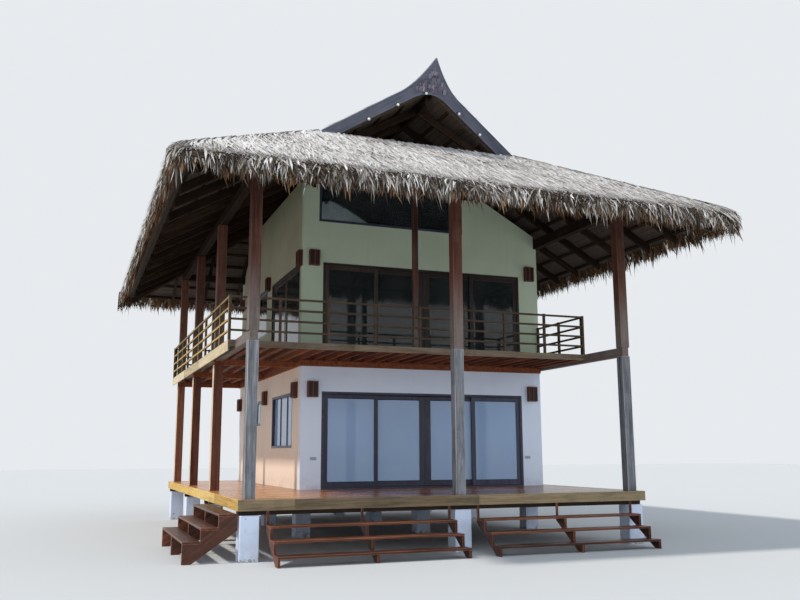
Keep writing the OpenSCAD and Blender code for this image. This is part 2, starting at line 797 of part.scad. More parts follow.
module upper_posts() {
    color("sienna") {
        for (x = [-post_x, post_x]) square_post(x, front_post_y, upper_post_w, tie_top, plate_z);
        square_post(middle_post_x, front_post_y, upper_post_w, tie_z, plate_z);
        for (y = left_post_ys) square_post(-post_x, y, upper_post_w, balcony_joist_z, plate_z);
        square_post(slender_post_x, -gable_y + gable_beam_w / 2, slender_post_w, upper_z, under_z(gable_run) - gable_beam_h);
    }
}

// Roof frame

right_plate_x = room_x1 - beam_w / 2;
right_plate_d = half_w - right_plate_x - beam_w;
right_plate_top = under_z(right_plate_d) - seat;
// It ends at the rear wall, or before it where the rear hip crosses
right_plate_end = min(room_y1 - wall_t, half_d - right_plate_d);

module right_plate() {
    box(right_plate_x, front_post_y + beam_w / 2, plate_z, right_plate_x + beam_w, right_plate_end, right_plate_top);
}

module plate_beams() {
    color("saddlebrown") {
        for (y = [front_post_y, rear_post_y])
            box(-post_x - beam_w / 2, y - beam_w / 2, plate_z, y < 0 ? post_x + beam_w / 2 : room_x0, y + beam_w / 2, plate_top_z);
        box(-post_x - beam_w / 2, front_post_y + beam_w / 2, plate_z, -post_x + beam_w / 2, rear_post_y - beam_w / 2, plate_top_z);
        right_plate();
    }
}

module gable_beam(y0) {
    box(-gable_half_w, y0, under_z(gable_run) - gable_beam_h, gable_half_w, y0 + gable_beam_w, under_z(gable_run));
}

module rear_gable_beam() {
    gable_beam(gable_y - gable_beam_w);
}

module ridge_board() {
    z0 = under_z(half_w - ridge_half);
    reach = gable_y + (z0 - gable_z) * rake;
    box(-ridge_half, -reach, z0, ridge_half, reach, z0 + rafter_h);
}

module gable_beams() {
    color("saddlebrown") {
        gable_beam(-gable_y);
        rear_gable_beam();
        ridge_board();
    }
}

// Outline of a sloping member from d0 to d1, measured in from an eave at -edge, h deep
function sloping(edge, d0, d1, h, lift = 0) = [[-edge + d0, under_z(d0) + lift], [-edge + d1, under_z(d1) + lift],
    [-edge + d1, under_z(d1) + h + lift], [-edge + d0, under_z(d0) + h + lift]];

// Evenly spread places from -reach to reach, about pitch apart
function spread(reach, pitch) = let (n = max(1, round(2 * reach / pitch))) [for (i = [0:n]) -reach + 2 * reach * i / n];

module both_sides_x() {
    children();
    mirror([1, 0, 0]) children();
}

module both_ends_y() {
    children();
    mirror([0, 1, 0]) children();
}

main_rafter_reach = gable_y - gable_beam_w - rafter_w;
jack_places = [for (d = [gable_run - rafter_pitch + rafter_w : -rafter_pitch : rafter_tail + rafter_pitch / 2]) d];

module main_rafter(y) {
    both_sides_x() along_y(y - rafter_w / 2, y + rafter_w / 2, sloping(half_w, rafter_tail, half_w - ridge_half, rafter_h));
}

// Rafters of the corners stop short of the hip
module jack_rafter(d) {
    both_sides_x() both_ends_y() {
        along_y(-half_d + d - rafter_w / 2, -half_d + d + rafter_w / 2, sloping(half_w, rafter_tail, d - hip_clear - rafter_w, rafter_h));
        along_x(-half_w + d - rafter_w / 2, -half_w + d + rafter_w / 2, sloping(half_d, rafter_tail, d - hip_clear - rafter_w, rafter_h));
    }
}

module hip_rafter() {
    run = sqrt(2);
    d1 = gable_run + gable_beam_w / 2;
    both_sides_x() both_ends_y()
        translate([-half_w, -half_d, 0]) rotate([0, 0, 45])
            along_y(-rafter_w / 2, rafter_w / 2, [[run * rafter_tail, under_z(rafter_tail)], [run * d1, under_z(d1)],
                [run * d1, under_z(d1) + rafter_h - hip_drop], [run * rafter_tail, under_z(rafter_tail) + rafter_h - hip_drop]]);
}

module rafters() {
    color("saddlebrown") {
        for (y = spread(main_rafter_reach, rafter_pitch)) main_rafter(y);
        for (x = spread(gable_half_w - 2 * rafter_w, rafter_pitch))
            both_ends_y() along_x(x - rafter_w / 2, x + rafter_w / 2,
                sloping(half_d, rafter_tail, gable_run + gable_beam_w, rafter_h));
        for (d = jack_places) jack_rafter(d);
        hip_rafter();
    }
}

batten_first = rafter_tail + batten_w;

module battens() {
    color("tan") {
        for (d = [batten_first : batten_pitch : half_w - batten_w]) {
            reach = d < gable_run ? half_d - d - batten_w : gable_y + (under_z(d - batten_w) + rafter_h - gable_z) * rake;
            both_sides_x() along_y(-reach, reach, sloping(half_w, d - batten_w / 2, d + batten_w / 2, batten_w, batten_lift));
        }
        for (d = [batten_first : batten_pitch : gable_run - batten_w])
            both_ends_y() along_x(-half_w + d + batten_w, half_w - d - batten_w,
                sloping(half_d, d - batten_w / 2, d + batten_w / 2, batten_w, batten_lift));
    }
}

// Thatch: a thick layer that thins to a rounded nose at the eave
nose_steps = 3;
function nose_point(t) = [eave_nose * pow(1 - t, 2), top_z(0) + (top_z(eave_nose) - top_z(0)) * pow(1 - t, 2) - eave_nose * t * t];
nose_outline = [for (i = [0:nose_steps]) nose_point(i / nose_steps)];

function thatch_outline(edge, d1) = concat([[-edge, top_z(0) - eave_edge_t],
    [-edge + eave_taper, top_z(eave_taper) - thatch_t], [-edge + d1, top_z(d1) - thatch_t],
    [-edge + d1, top_z(d1)], if (d1 > gable_run) [-edge + gable_run, gable_z]],
    [for (p = nose_outline) [-edge + p.x, p.y]]);

// Height above everything, for cuts
roof_reach = 3 * half_d;

// Space in front of the raked gable plane
module before_gable() {
    both_ends_y() along_x(-gable_half_w, gable_half_w, [[-gable_y, 0], [-gable_y, gable_z],
        [-gable_y - half_w * rake, gable_z + half_w], [-2 * half_d, gable_z + half_w], [-2 * half_d, 0]]);
}

module side_thatch() {
    difference() {
        intersection() {
            along_y(-half_d, half_d, thatch_outline(half_w, half_w));
            linear_extrude(roof_reach)
                polygon([[-half_w, -half_d], [-gable_half_w, -gable_y], [-gable_half_w, -half_d], [0, -half_d],
                        [0, half_d], [-gable_half_w, half_d], [-gable_half_w, gable_y], [-half_w, half_d]]);
        }
        before_gable();
    }
}

module left_thatch() {
    color("tan") side_thatch();
}

module right_thatch() {
    color("tan") mirror([1, 0, 0]) side_thatch();
}

module end_thatch() {
    color("tan") both_ends_y() intersection() {
        along_x(-half_w, half_w, thatch_outline(half_d, gable_run));
        linear_extrude(roof_reach)
            polygon([[-half_w, -half_d], [half_w, -half_d], [gable_half_w, -gable_y], [-gable_half_w, -gable_y]]);
    }
}

// Bargeboards: drawn flat in the raked plane, h running up the rake
barge_step = 50;
barge_turn = 400;
inner_half_w = gable_half_w - barge_h / slope;
function sweep_up(x) = x < peak_half_w ? peak_rise * pow(1 - x / peak_half_w, 2) : 0;
function barge_outer(x) = ((gable_half_w - abs(x)) * slope + sweep_up(abs(x))) / cos(gable_rake);
function barge_line(x) = (gable_half_w - x) * slope - barge_h;
function barge_inner(x) = (abs(x) > barge_turn ? barge_line(abs(x))
    : barge_line(barge_turn) + slope * (pow(barge_turn, 2) - pow(x, 2)) / (2 * barge_turn)) / cos(gable_rake);

module bargeboard() {
    lift = 1;
    outer = [for (x = [-peak_half_w : barge_step : peak_half_w]) [x, barge_outer(x) + lift]];
    inner = [for (x = [barge_turn : -barge_step : -barge_turn]) [x, barge_inner(x) + lift]];
    translate([0, -gable_y - seat, gable_z]) rotate([90 + gable_rake, 0, 0]) linear_extrude(barge_t)
        polygon(concat([[-gable_half_w, lift]], outer, [[gable_half_w, lift], [inner_half_w, lift]], inner,
            [[-inner_half_w, lift]]));
}

module bargeboards() {
    color("dimgray") both_ends_y() bargeboard();
}

concrete_piers();
deck_bearers();
deck_joists();
deck_boards();
deck_fascia();
stair_stringers();
stair_treads();
room_floor();
lower_wall_door_left();
lower_wall_door_right();
lower_wall_door_head();
lower_side_walls();
lower_rear_wall();
lower_door_frame();
fixed_leaves();
sliding_leaf_left();
sliding_leaf_right();
sliding_glass_left();
sliding_glass_right();
upper_floor();
upper_front_wall();
upper_side_walls();
upper_rear_wall();
upper_door_frames();
upper_door_leaves();
window_frames();
window_glass();
wall_lamps();
balcony_beams();
balcony_joists();
balcony_boards();
balcony_fascia();
tie_beams();
front_railing();
left_railing();
end_railings();
lower_posts();
upper_posts();
plate_beams();
gable_beams();
rafters();
battens();
left_thatch();
right_thatch();
end_thatch();
bargeboards();
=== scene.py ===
"""Dresses the stilt house: camera, studio, the finish of each piece, and what is finer than the solids."""
import json
import math
import random

import bmesh
import bpy
import numpy as np
from mathutils import Matrix, Vector

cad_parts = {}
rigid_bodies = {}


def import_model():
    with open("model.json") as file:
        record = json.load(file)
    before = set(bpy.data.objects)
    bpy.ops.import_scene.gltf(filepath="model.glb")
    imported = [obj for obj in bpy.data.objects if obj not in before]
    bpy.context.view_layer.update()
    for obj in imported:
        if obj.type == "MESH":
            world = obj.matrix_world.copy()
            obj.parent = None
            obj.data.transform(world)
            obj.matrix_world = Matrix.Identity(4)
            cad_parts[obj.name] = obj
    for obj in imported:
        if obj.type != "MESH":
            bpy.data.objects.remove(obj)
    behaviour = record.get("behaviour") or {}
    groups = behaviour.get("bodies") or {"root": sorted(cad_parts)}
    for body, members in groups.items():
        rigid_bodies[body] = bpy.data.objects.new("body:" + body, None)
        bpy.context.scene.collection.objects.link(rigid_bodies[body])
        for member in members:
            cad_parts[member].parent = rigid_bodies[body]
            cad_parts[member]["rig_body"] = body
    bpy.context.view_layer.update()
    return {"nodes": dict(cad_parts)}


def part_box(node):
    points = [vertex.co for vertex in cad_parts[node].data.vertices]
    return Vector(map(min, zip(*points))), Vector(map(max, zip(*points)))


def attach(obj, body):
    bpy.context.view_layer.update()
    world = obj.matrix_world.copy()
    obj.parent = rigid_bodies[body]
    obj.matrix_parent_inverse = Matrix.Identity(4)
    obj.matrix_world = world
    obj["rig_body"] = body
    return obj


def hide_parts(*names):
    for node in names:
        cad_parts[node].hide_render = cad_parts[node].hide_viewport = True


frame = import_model()
NODES = frame["nodes"]
X = Vector((1, 0, 0))
Y = Vector((0, 1, 0))
Z = Vector((0, 0, 1))
AXES = (X, Y, Z)
columns = np.column_stack

# Farther than any part reaches, a right angle, and how near two points are when they are one
FAR = 90
UPRIGHT = math.radians(90)
ONE_POINT = 1e-5

# Camera: where the viewer stands, in metres, and how they look
CAMERA_PLACE = (-6.992, -20.548, 1.846)
CAMERA_TURN = (math.radians(20.999), math.radians(10.115), math.radians(-0.206))
CAMERA_LENS = 38.49
CAMERA_SENSOR = 36
CAMERA_REACH = 400

# Studio; the sky dims from front to rear between the two values of its turn
FLOOR_COLOUR = (0.6, 0.615, 0.635)
FLOOR_ROUGHNESS = 0.9
SKY_COLOUR = (0.82, 0.91, 1)
SKY_IN_FRONT = 1.3
SKY_BEHIND = 0.5
SKY_TURN = (-1, 0.3)
BACKDROP = (0.8, 0.83, 0.86)
SUN_COLOUR = (1, 0.95, 0.87)
SUN_STRENGTH = 2.6
SUN_FROM = Vector((-0.7, 0.04, 0.77))
SUN_SPREAD = math.radians(4)

# Edges and grain
SHARP = math.radians(30)
FLAT = math.radians(0.5)
GRAIN_SPREAD = 60

# Boards
DECK_BOARD = 0.145
BALCONY_BOARD = 0.14
ROOM_BOARD = 0.12
BOARD_GAP = 0.006
HALF_JOINT = 0.0015
BOARD_LENGTH = (2.2, 4.4)
SHORTEST_BOARD = 0.3
FASCIA_THICKNESS = 0.03
DECK_JOINTS = {"front": (-3.2, 0.4, 3.1), "left": (-2.9, 0.02, 3.3)}
BALCONY_JOINTS = {"front": (-1.6, 2.1), "left": (0.1, 2.9)}
OTHER_JOINTS = (0.6,)
FRONT_ROW_Y = -5

# Small joinery
BALCONY_Z = 3.9
MOULDING_WIDTH = 0.014
MOULDING_DEPTH = 0.005
BAR_WIDTH = 0.045
BAR_DEPTH = 0.018
BAR_PLACES = (1 / 3, 2 / 3)
LAMP_CAP = 0.022
LAMP_BAR = 0.024
LAMP_PANEL_INSET = 0.0144
SOCKET_PLACES = (-1.9, 3.49)
SOCKET_PLATE = ((-0.07, -0.012, 1.69), (0.07, 0, 1.755))
SOCKET_SWITCH = ((-0.045, -0.016, 1.705), (0.045, -0.011, 1.74))
BLOCKING = 0.028

# Thatch: lengths in metres, and thickness, swings, lifts and sags as shares of a leaf's own size
BLADES_PER_SQUARE = 370
BLADE_LENGTH = (0.26, 0.66)
BLADE_WIDTH = (0.018, 0.056)
BLADE_THICKNESS = 0.3
BLADE_TONES = (2.2, 1.8)
BLADE_SWING = 0.16
BLADE_LIFT = 0.05
BLADE_LOOSE = 0.03
BLADE_SAG = (0.02, 0.08)
COURSE_RISE = 0.075
BED_INSET = 0.1
NOSE_REACH = 0.2
BARGE_CLEARANCE = 0.16
GABLE_CLEARANCE = 0.05
CAP_LEAVES = 150
CAP_START = 0.03
CAP_SWING = 0.25
HIP_SWING = 0.45
CAP_LOOSE = (0.005, 0.045)
CAP_LENGTH = (0.25, 0.6)
CAP_SAG = 0.06
CAP_TONE = -0.08
CORNER_SHARE = 0.03
FRINGE_WIDTH = (0.012, 0.04)
FRINGE_SWING = 0.07
FRINGE_TWIST = 0.6
LONG_SHARE = 0.05
LONG_HANG = 1.5
CLUMP = 6
CLUMP_REACH = 0.05
CLUMP_SWING = 0.15

# Side slopes or end slopes, each with its name, the sign of the side it faces, and its seed
SLOPES = (
    (True, (("left", -1, 54), ("right", 1, 55))),
    (False, (("front", -1, 55), ("rear", 1, 54))),
)

# Name, finish, leaves per metre, how far behind the edge and under the slope they start,
# how far short of the edge they end, how far they hang, and the shift of their tone
FRINGE = (
    # The top layer's tone is lifted as painted light, and the nose layer's is lowered as painted shade
    # beneath it.
    ("eave_fringe_top", "fringe", 135, (0.14, 0.5), (-0.01, 0.01), (0, 0.13), (0.1, 0.46), 0.22),
    ("eave_fringe_nose", "fringe", 140, (0.1, 0.17), (0.01, 0.14), (0.01, 0.13), (0.1, 0.42), -0.3),
    ("eave_fringe_under", "old_leaf", 120, (0.12, 0.32), (0.12, 0.24), (0.03, 0.2), (0.12, 0.34), 0),
)

# Gable, in metres and degrees
BARGE_DEPTH = 0.25
BARGE_THICKNESS = 0.06
BARGE_BORDER = 0.04
BARGE_RECESS = 0.018
BARGE_TURN = 0.4
PEAK_RISE = 0.33
PEAK_HALF_W = 0.7
SHINGLE_WIDTH = 0.082
SHINGLE_LENGTH = 0.1
SHINGLE_ROW = 0.062
SHINGLE_GAP = (0.003, 0.012)
SHINGLE_THICKNESS = 0.012
SHINGLE_TUCK = 0.02
SHINGLE_LEAN = (3, 8)
SHINGLE_TWIST = 8
SHINGLES_ASIDE = 12
BULB_DROP = 0.035
LET_IN = 0.004
TURN_STEPS = 18
BULB_PLACES = (-1.95, -1.33, -0.73, -0.13, 0.73, 1.33, 1.95)
HOLDER_PROFILE = ((0, 0), (0.026, 0), (0.026, 0.012), (0.019, 0.018), (0.018, 0.045),
                  (0.014, 0.047), (0, 0.047))
BULB_PROFILE = ((0, 0.044), (0.013, 0.046), (0.014, 0.056), (0.024, 0.072), (0.032, 0.092),
                (0.031, 0.106), (0.022, 0.121), (0.01, 0.128), (0, 0.129))


# Camera and studio

def put_in_scene(name, data):
    made = bpy.data.objects.new(name, data)
    bpy.context.scene.collection.objects.link(made)
    return made


def to_mesh(bm, name):
    """Turns a bmesh into a mesh and frees it."""
    mesh = bpy.data.meshes.new(name)
    bm.to_mesh(mesh)
    bm.free()
    return mesh


def add_camera():
    yaw, pitch, roll = CAMERA_TURN
    data = bpy.data.cameras.new("camera")
    data.sensor_fit = "HORIZONTAL"
    data.sensor_width = CAMERA_SENSOR
    data.lens = CAMERA_LENS
    data.clip_end = CAMERA_REACH
    camera = put_in_scene("camera", data)
    level = Matrix.Rotation(-yaw, 4, "Z") @ Matrix.Rotation(UPRIGHT + pitch, 4, "X")
    camera.matrix_world = Matrix.Translation(CAMERA_PLACE) @ level @ Matrix.Rotation(roll, 4, "Z")
    bpy.context.scene.camera = camera
    bpy.context.scene.view_settings.view_transform = "Standard"


def add_sun():
    data = bpy.data.lights.new("sun", "SUN")
    data.energy = SUN_STRENGTH
    data.color = SUN_COLOUR
    data.angle = SUN_SPREAD
    sun = put_in_scene("sun", data)
    sun.matrix_world = SUN_FROM.to_track_quat("Z", "Y").to_matrix().to_4x4()


def add_sky():
    """Soft light from the front, and a pale backdrop for what the camera, glass and gloss see."""
    world = bpy.data.worlds.new("studio")
    bpy.context.scene.world = world
    world.use_nodes = True
    tree = Nodes(world)
    light = tree.nodes["Background"]
    way = tree.axes(tree.add("ShaderNodeTexCoord").outputs["Generated"])[1]
    tree.feed(light.inputs["Color"], SKY_COLOUR)
    tree.feed(light.inputs["Strength"], tree.between(way, *SKY_TURN, SKY_IN_FRONT, SKY_BEHIND))
    ray = tree.add("ShaderNodeLightPath").outputs
    direct = tree.calc("MAXIMUM", ray["Is Camera Ray"], ray["Is Glossy Ray"])
    direct = tree.calc("MAXIMUM", direct, ray["Is Transmission Ray"])
    backdrop = tree.add("ShaderNodeBackground", {"Color": BACKDROP}).outputs[0]
    choice = tree.add("ShaderNodeMixShader", {0: direct, 1: light.outputs[0], 2: backdrop}).outputs[0]
    tree.feed(tree.nodes["World Output"].inputs["Surface"], choice)


def add_floor():
    bm = bmesh.new()
    bmesh.ops.create_grid(bm, x_segments=1, y_segments=1, size=FAR)
    floor = put_in_scene("studio_floor", to_mesh(bm, "studio_floor"))
    floor.data.materials.append(Finish("studio_floor").done(FLOOR_COLOUR, FLOOR_ROUGHNESS))


# Finishes

class Nodes:
    """The node tree of a finish or of the sky."""

    def __init__(self, owner):
        self.nodes = owner.node_tree.nodes
        self.links = owner.node_tree.links

    def add(self, kind, inputs=(), **settings):
        """A node with its settings made and its inputs fed."""
        node = self.nodes.new(kind)
        for setting, value in settings.items():
            setattr(node, setting, value)
        for socket, source in dict(inputs).items():
            self.feed(node.inputs[socket], source)
        return node

    def feed(self, socket, source):
        """Links a socket to an output, or sets it to a plain value."""
        if isinstance(source, bpy.types.NodeSocket):
            self.links.new(source, socket)
        elif socket.type == "RGBA":
            socket.default_value = (*source, 1)
        else:
            socket.default_value = source

    def axes(self, source):
        return self.add("ShaderNodeSeparateXYZ", {0: source}).outputs

    def calc(self, operation, first, second=0.5, third=0.5):
        return self.add("ShaderNodeMath", {0: first, 1: second, 2: third}, operation=operation).outputs[0]

    def between(self, value, low, high, to_low=0.0, to_high=1.0):
        """A value carried over from one range to another and held at its ends."""
        steps = {0: value, 1: low, 2: high, 3: to_low, 4: to_high}
        return self.add("ShaderNodeMapRange", steps).outputs[0]


class Finish(Nodes):
    """One material, built from its pattern to its surface."""

    def __init__(self, name):
        self.material = bpy.data.materials.new(name)
        self.material.use_nodes = True
        super().__init__(self.material)

    def place(self):
        return self.add("ShaderNodeTexCoord").outputs["Object"]

    def facing(self):
        return self.axes(self.add("ShaderNodeNewGeometry").outputs["Normal"])

    def layer(self, name, output="Vector"):
        return self.add("ShaderNodeAttribute", attribute_name=name).outputs[output]

    def scaled(self, source, scale):
        return self.add("ShaderNodeMapping", {"Vector": source, "Scale": scale}).outputs[0]

    def mottle(self, source, scale, detail=4, roughness=0.55, distortion=0.0):
        """Noise on a scale, in cycles a metre where it is laid on places."""
        inputs = {"Vector": source, "Scale": scale, "Detail": detail, "Roughness": roughness,
                  "Distortion": distortion}
        return self.add("ShaderNodeTexNoise", inputs).outputs[0]

    def ramp(self, factor, *stops):
        ramp = self.add("ShaderNodeValToRGB", {0: factor})
        points = ramp.color_ramp.elements
        while len(points) < len(stops):
            points.new(0.5)
        for point, (place, colour) in zip(points, stops):
            point.position = place
            point.color = (*colour, 1)
        return ramp.outputs[0]

    def blend(self, factor, first, second, mode="MIX"):
        inputs = {0: factor, 6: first, 7: second}
        return self.add("ShaderNodeMix", inputs, data_type="RGBA", blend_type=mode).outputs[2]

    def done(self, colour, roughness, height=None, distance=0.001, strength=1.0, **others):
        """Feeds the surface, with relief where a height is given, and returns the material."""
        surface = self.nodes["Principled BSDF"].inputs
        self.feed(surface["Base Color"], colour)
        self.feed(surface["Roughness"], roughness)
        for socket, source in others.items():
            self.feed(surface[socket.replace("_", " ")], source)
        if height:
            inputs = {"Distance": distance, "Strength": strength, "Height": height}
            self.feed(surface["Normal"], self.add("ShaderNodeBump", inputs).outputs[0])
        return self.material


def tinted(colour, share, lift=0.0):
    return tuple(min(1, share * v + lift) for v in colour)


def wood(name, dark, mid, pale, grey, weathered, rough=(0.5, 0.75), cracks=0.0, wear=0.5, relief=0.002,
         dirt=0.35, shine=0.2, foot=None, sunlit_faces=None, painted_sun_patch=None):
    """Timber with grain along it, a tone of its own for each piece, worn edges, stains and drying cracks;
    where asked, faces toward the sun painted paler and a painted sunlit patch.
    """
    f = Finish(name)
    grain = f.layer("grain")
    tone = f.layer("tone", "Fac")
    figure = f.mottle(f.scaled(grain, (0.55, 8, 8)), 1.6, 6, 0.62, 1.1)
    fibre = f.mottle(f.scaled(grain, (3, 130, 130)), 1, 4, 0.7)
    figured = f.calc("SUBTRACT", f.calc("MULTIPLY_ADD", fibre, 0.35, figure), 0.32)
    shade = f.calc("MULTIPLY_ADD", tone, 0.34, figured)
    body = f.ramp(shade, (0.22, dark), (0.52, mid), (0.86, pale))
    stain = f.between(f.mottle(f.place(), 1.1, 6, 0.7), 0.44, 0.72)
    weather = f.calc("MULTIPLY", f.calc("ADD", stain, f.calc("MULTIPLY", fibre, 0.5)), grey)
    if foot:
        low = f.between(f.axes(f.place())[2], foot[0], foot[1], 0.9, 0)
        weather = f.calc("MAXIMUM", weather, f.calc("MULTIPLY", low, f.between(figure, 0.3, 0.6, 0.6, 1)))
    body = f.blend(weather, body, weathered)
    # Faces that look toward the sun, to the left, are painted paler: painted sunlight, partly standing for
    # sun-bleaching.
    if sunlit_faces:
        facing = f.facing()[0]
        sunlit_patchiness = f.between(figure, 0.3, 0.55, 0.6, 1)
        sunlit = f.calc("MULTIPLY", f.between(facing, -0.9, -0.5, 0.85, 0), sunlit_patchiness)
        body = f.blend(sunlit, body, sunlit_faces)
    if painted_sun_patch:
        # Boards towards the left, out where the sun falls, turn orange: a painted sunlit patch.
        out = f.calc("MULTIPLY_ADD", f.mottle(grain, 0.6, 3, 0.5), 0.8, f.axes(f.place())[0])
        body = f.blend(f.between(out, painted_sun_patch[0], painted_sun_patch[1], 0.75, 0), body, painted_sun_patch[2])
    smut = f.between(f.mottle(f.place(), 3.7, 5, 0.65), 0.5, 0.78, 0, dirt)
    body = f.blend(smut, body, tinted(dark, 0.3))
    worn = f.calc("MULTIPLY", f.layer("worn", "Fac"), f.between(figure, 0.35, 0.6, 0.2 * wear, wear))
    body = f.blend(worn, body, tinted(pale, 1.35, 0.02))
    height = f.calc("MULTIPLY_ADD", figure, 0.6, f.calc("MULTIPLY", fibre, 0.5))
    if cracks:
        split = f.between(f.mottle(f.scaled(grain, (0.35, 26, 26)), 1.3, 3, 0.6, 0.5), 0.3, 0.37)
        open_crack = f.calc("MULTIPLY", f.calc("SUBTRACT", 1.0, split), cracks)
        body = f.blend(open_crack, body, tinted(dark, 0.18))
        height = f.calc("MULTIPLY_ADD", split, 1.6 * cracks, height)
    roughness = f.between(figure, 0.3, 0.7, *rough)
    return f.done(body, roughness, height, relief, Specular_IOR_Level=shine)


def plaster(name, colour, shade, streaks, foot=1.05):
    """Painted plaster with faint trowel marks, clouds of tone, rain streaks and dirt along its foot."""
    f = Finish(name)
    place = f.place()
    cloud = f.mottle(place, 0.8, 5, 0.6)
    body = f.blend(f.between(cloud, 0.35, 0.7), colour, shade)
    streak = f.between(f.mottle(f.scaled(place, (5, 5, 0.35)), 1.4, 5, 0.65), 0.52, 0.8, 0, streaks)
    body = f.blend(streak, body, tinted(shade, 0.72))
    height = f.axes(place)[2]
    low = f.between(height, foot, foot + 0.35, 1, 0)
    dirt = f.calc("MULTIPLY", low, f.between(f.mottle(place, 6, 6, 0.7), 0.42, 0.7, 0, 0.45))
    body = f.blend(dirt, body, (0.33, 0.27, 0.21))
    trowelled = f.calc("MULTIPLY_ADD", f.mottle(place, 38, 4, 0.6), 0.35, f.mottle(place, 4.2, 3, 0.5))
    return f.done(body, f.between(cloud, 0.3, 0.7, 0.62, 0.82), trowelled, 0.0035, 0.7)


def painted_concrete(name):
    """White paint on the piers, chipped to grey at the foot and along their edges."""
    f = Finish(name)
    place = f.place()
    height = f.axes(place)[2]
    low = f.between(height, 0.0, 0.2, 0.15, 0)
    chips = f.between(f.calc("ADD", f.mottle(place, 9, 6, 0.68), low), 0.65, 0.71)
    cloud = f.mottle(place, 2.2, 5, 0.6)
    paint = f.blend(f.between(cloud, 0.4, 0.7), (0.7, 0.78, 0.95), (0.62, 0.68, 0.82))
    spots = f.between(f.mottle(place, 5, 5, 0.7), 0.4, 0.7, 0, 0.5)
    splash = f.calc("MULTIPLY", f.between(height, 0.0, 0.35, 1, 0), spots)
    paint = f.blend(splash, paint, (0.42, 0.36, 0.28))
    body = f.blend(chips, paint, (0.34, 0.32, 0.29))
    height = f.calc("MULTIPLY_ADD", chips, -0.8, f.mottle(place, 24, 5, 0.6))
    return f.done(body, f.between(cloud, 0.3, 0.7, 0.6, 0.85), height, 0.004)


def glass(name, below, above):
    """Panes painted with a bright reflection of the shore below and painted dark as the shade of the roof
    above.
    """
    f = Finish(name)
    smear = f.mottle(f.place(), 1.4, 4, 0.6)
    upper = f.between(f.axes(f.place())[2], BALCONY_Z, BALCONY_Z + 0.01)
    reflection_and_shade = f.blend(upper, below, above)
    smeared = f.blend(0.75, (1, 1, 1), reflection_and_shade, "MULTIPLY")
    body = f.blend(f.between(smear, 0.35, 0.7, 0, 0.3), reflection_and_shade, smeared)
    clear = f.between(upper, 0, 1, 0.4, 0.78)
    return f.done(body, f.between(smear, 0.4, 0.7, 0.03, 0.08), Transmission_Weight=clear)


def thatch_bed(name):
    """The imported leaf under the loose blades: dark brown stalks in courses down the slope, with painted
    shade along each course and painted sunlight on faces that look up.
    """
    f = Finish(name)
    place = f.place()
    lie = f.mottle(f.scaled(place, (18, 18, 5)), 1.6, 5, 0.7, 0.6)
    clump = f.mottle(place, 1.7, 4, 0.6)
    body = f.ramp(lie, (0.3, (0.02, 0.013, 0.009)), (0.52, (0.075, 0.047, 0.03)), (0.75, (0.2, 0.14, 0.09)))
    body = f.blend(f.between(clump, 0.4, 0.7, 0, 0.6), body, (0.045, 0.03, 0.02))
    sunlit_faces = f.ramp(lie, (0.3, (0.12, 0.1, 0.09)), (0.48, (0.42, 0.39, 0.37)), (0.7, (0.66, 0.63, 0.61)))
    skyward = f.facing()[2]
    wavy = f.calc("MULTIPLY", clump, 0.3)
    course = f.calc("FRACT", f.calc("MULTIPLY_ADD", f.axes(place)[2], 1 / COURSE_RISE, wavy), 0)
    # A dark band along each course: painted shade beside its step.
    body = f.blend(f.between(course, 0, 0.2, 0.75, 0), body, (0.012, 0.008, 0.006))
    # Faces that look up turn pale: painted sunlight, partly standing for sun-bleaching.
    body = f.blend(f.between(skyward, 0.3, 0.6), body, sunlit_faces)
    height = f.calc("MULTIPLY_ADD", course, 0.8, lie)
    return f.done(body, f.between(lie, 0.3, 0.7, 0.75, 0.95), height, 0.03)


def leaf_blades(name, root_painted_shade, *stops):
    """Dry leaf, each blade in a tone of its own, darker at its root as painted shade where it lies under
    other blades.
    """
    f = Finish(name)
    tone = f.layer("tone", "Fac")
    reach = f.layer("reach", "Fac")
    drift = f.mottle(f.place(), 0.9, 4, 0.6)
    mark = f.calc("ADD", tone, f.between(drift, 0.3, 0.7, -0.16, 0.16))
    # Blades darken towards their root: painted shade.
    body = f.blend(f.between(reach, 0.0, 0.6, root_painted_shade, 0), f.ramp(mark, *stops), (0.05, 0.032, 0.02))
    ribs = f.mottle(f.place(), 90, 3, 0.6)
    return f.done(body, f.between(tone, 0, 1, 0.62, 0.85), ribs, 0.002, 0.5, Specular_IOR_Level=0.25)


def bulb_glass(name):
    f = Finish(name)
    cloud = f.between(f.mottle(f.place(), 14, 3), 0.4, 0.7)
    return f.done(f.blend(cloud, (0.92, 0.91, 0.87), (0.84, 0.83, 0.78)), 0.12)


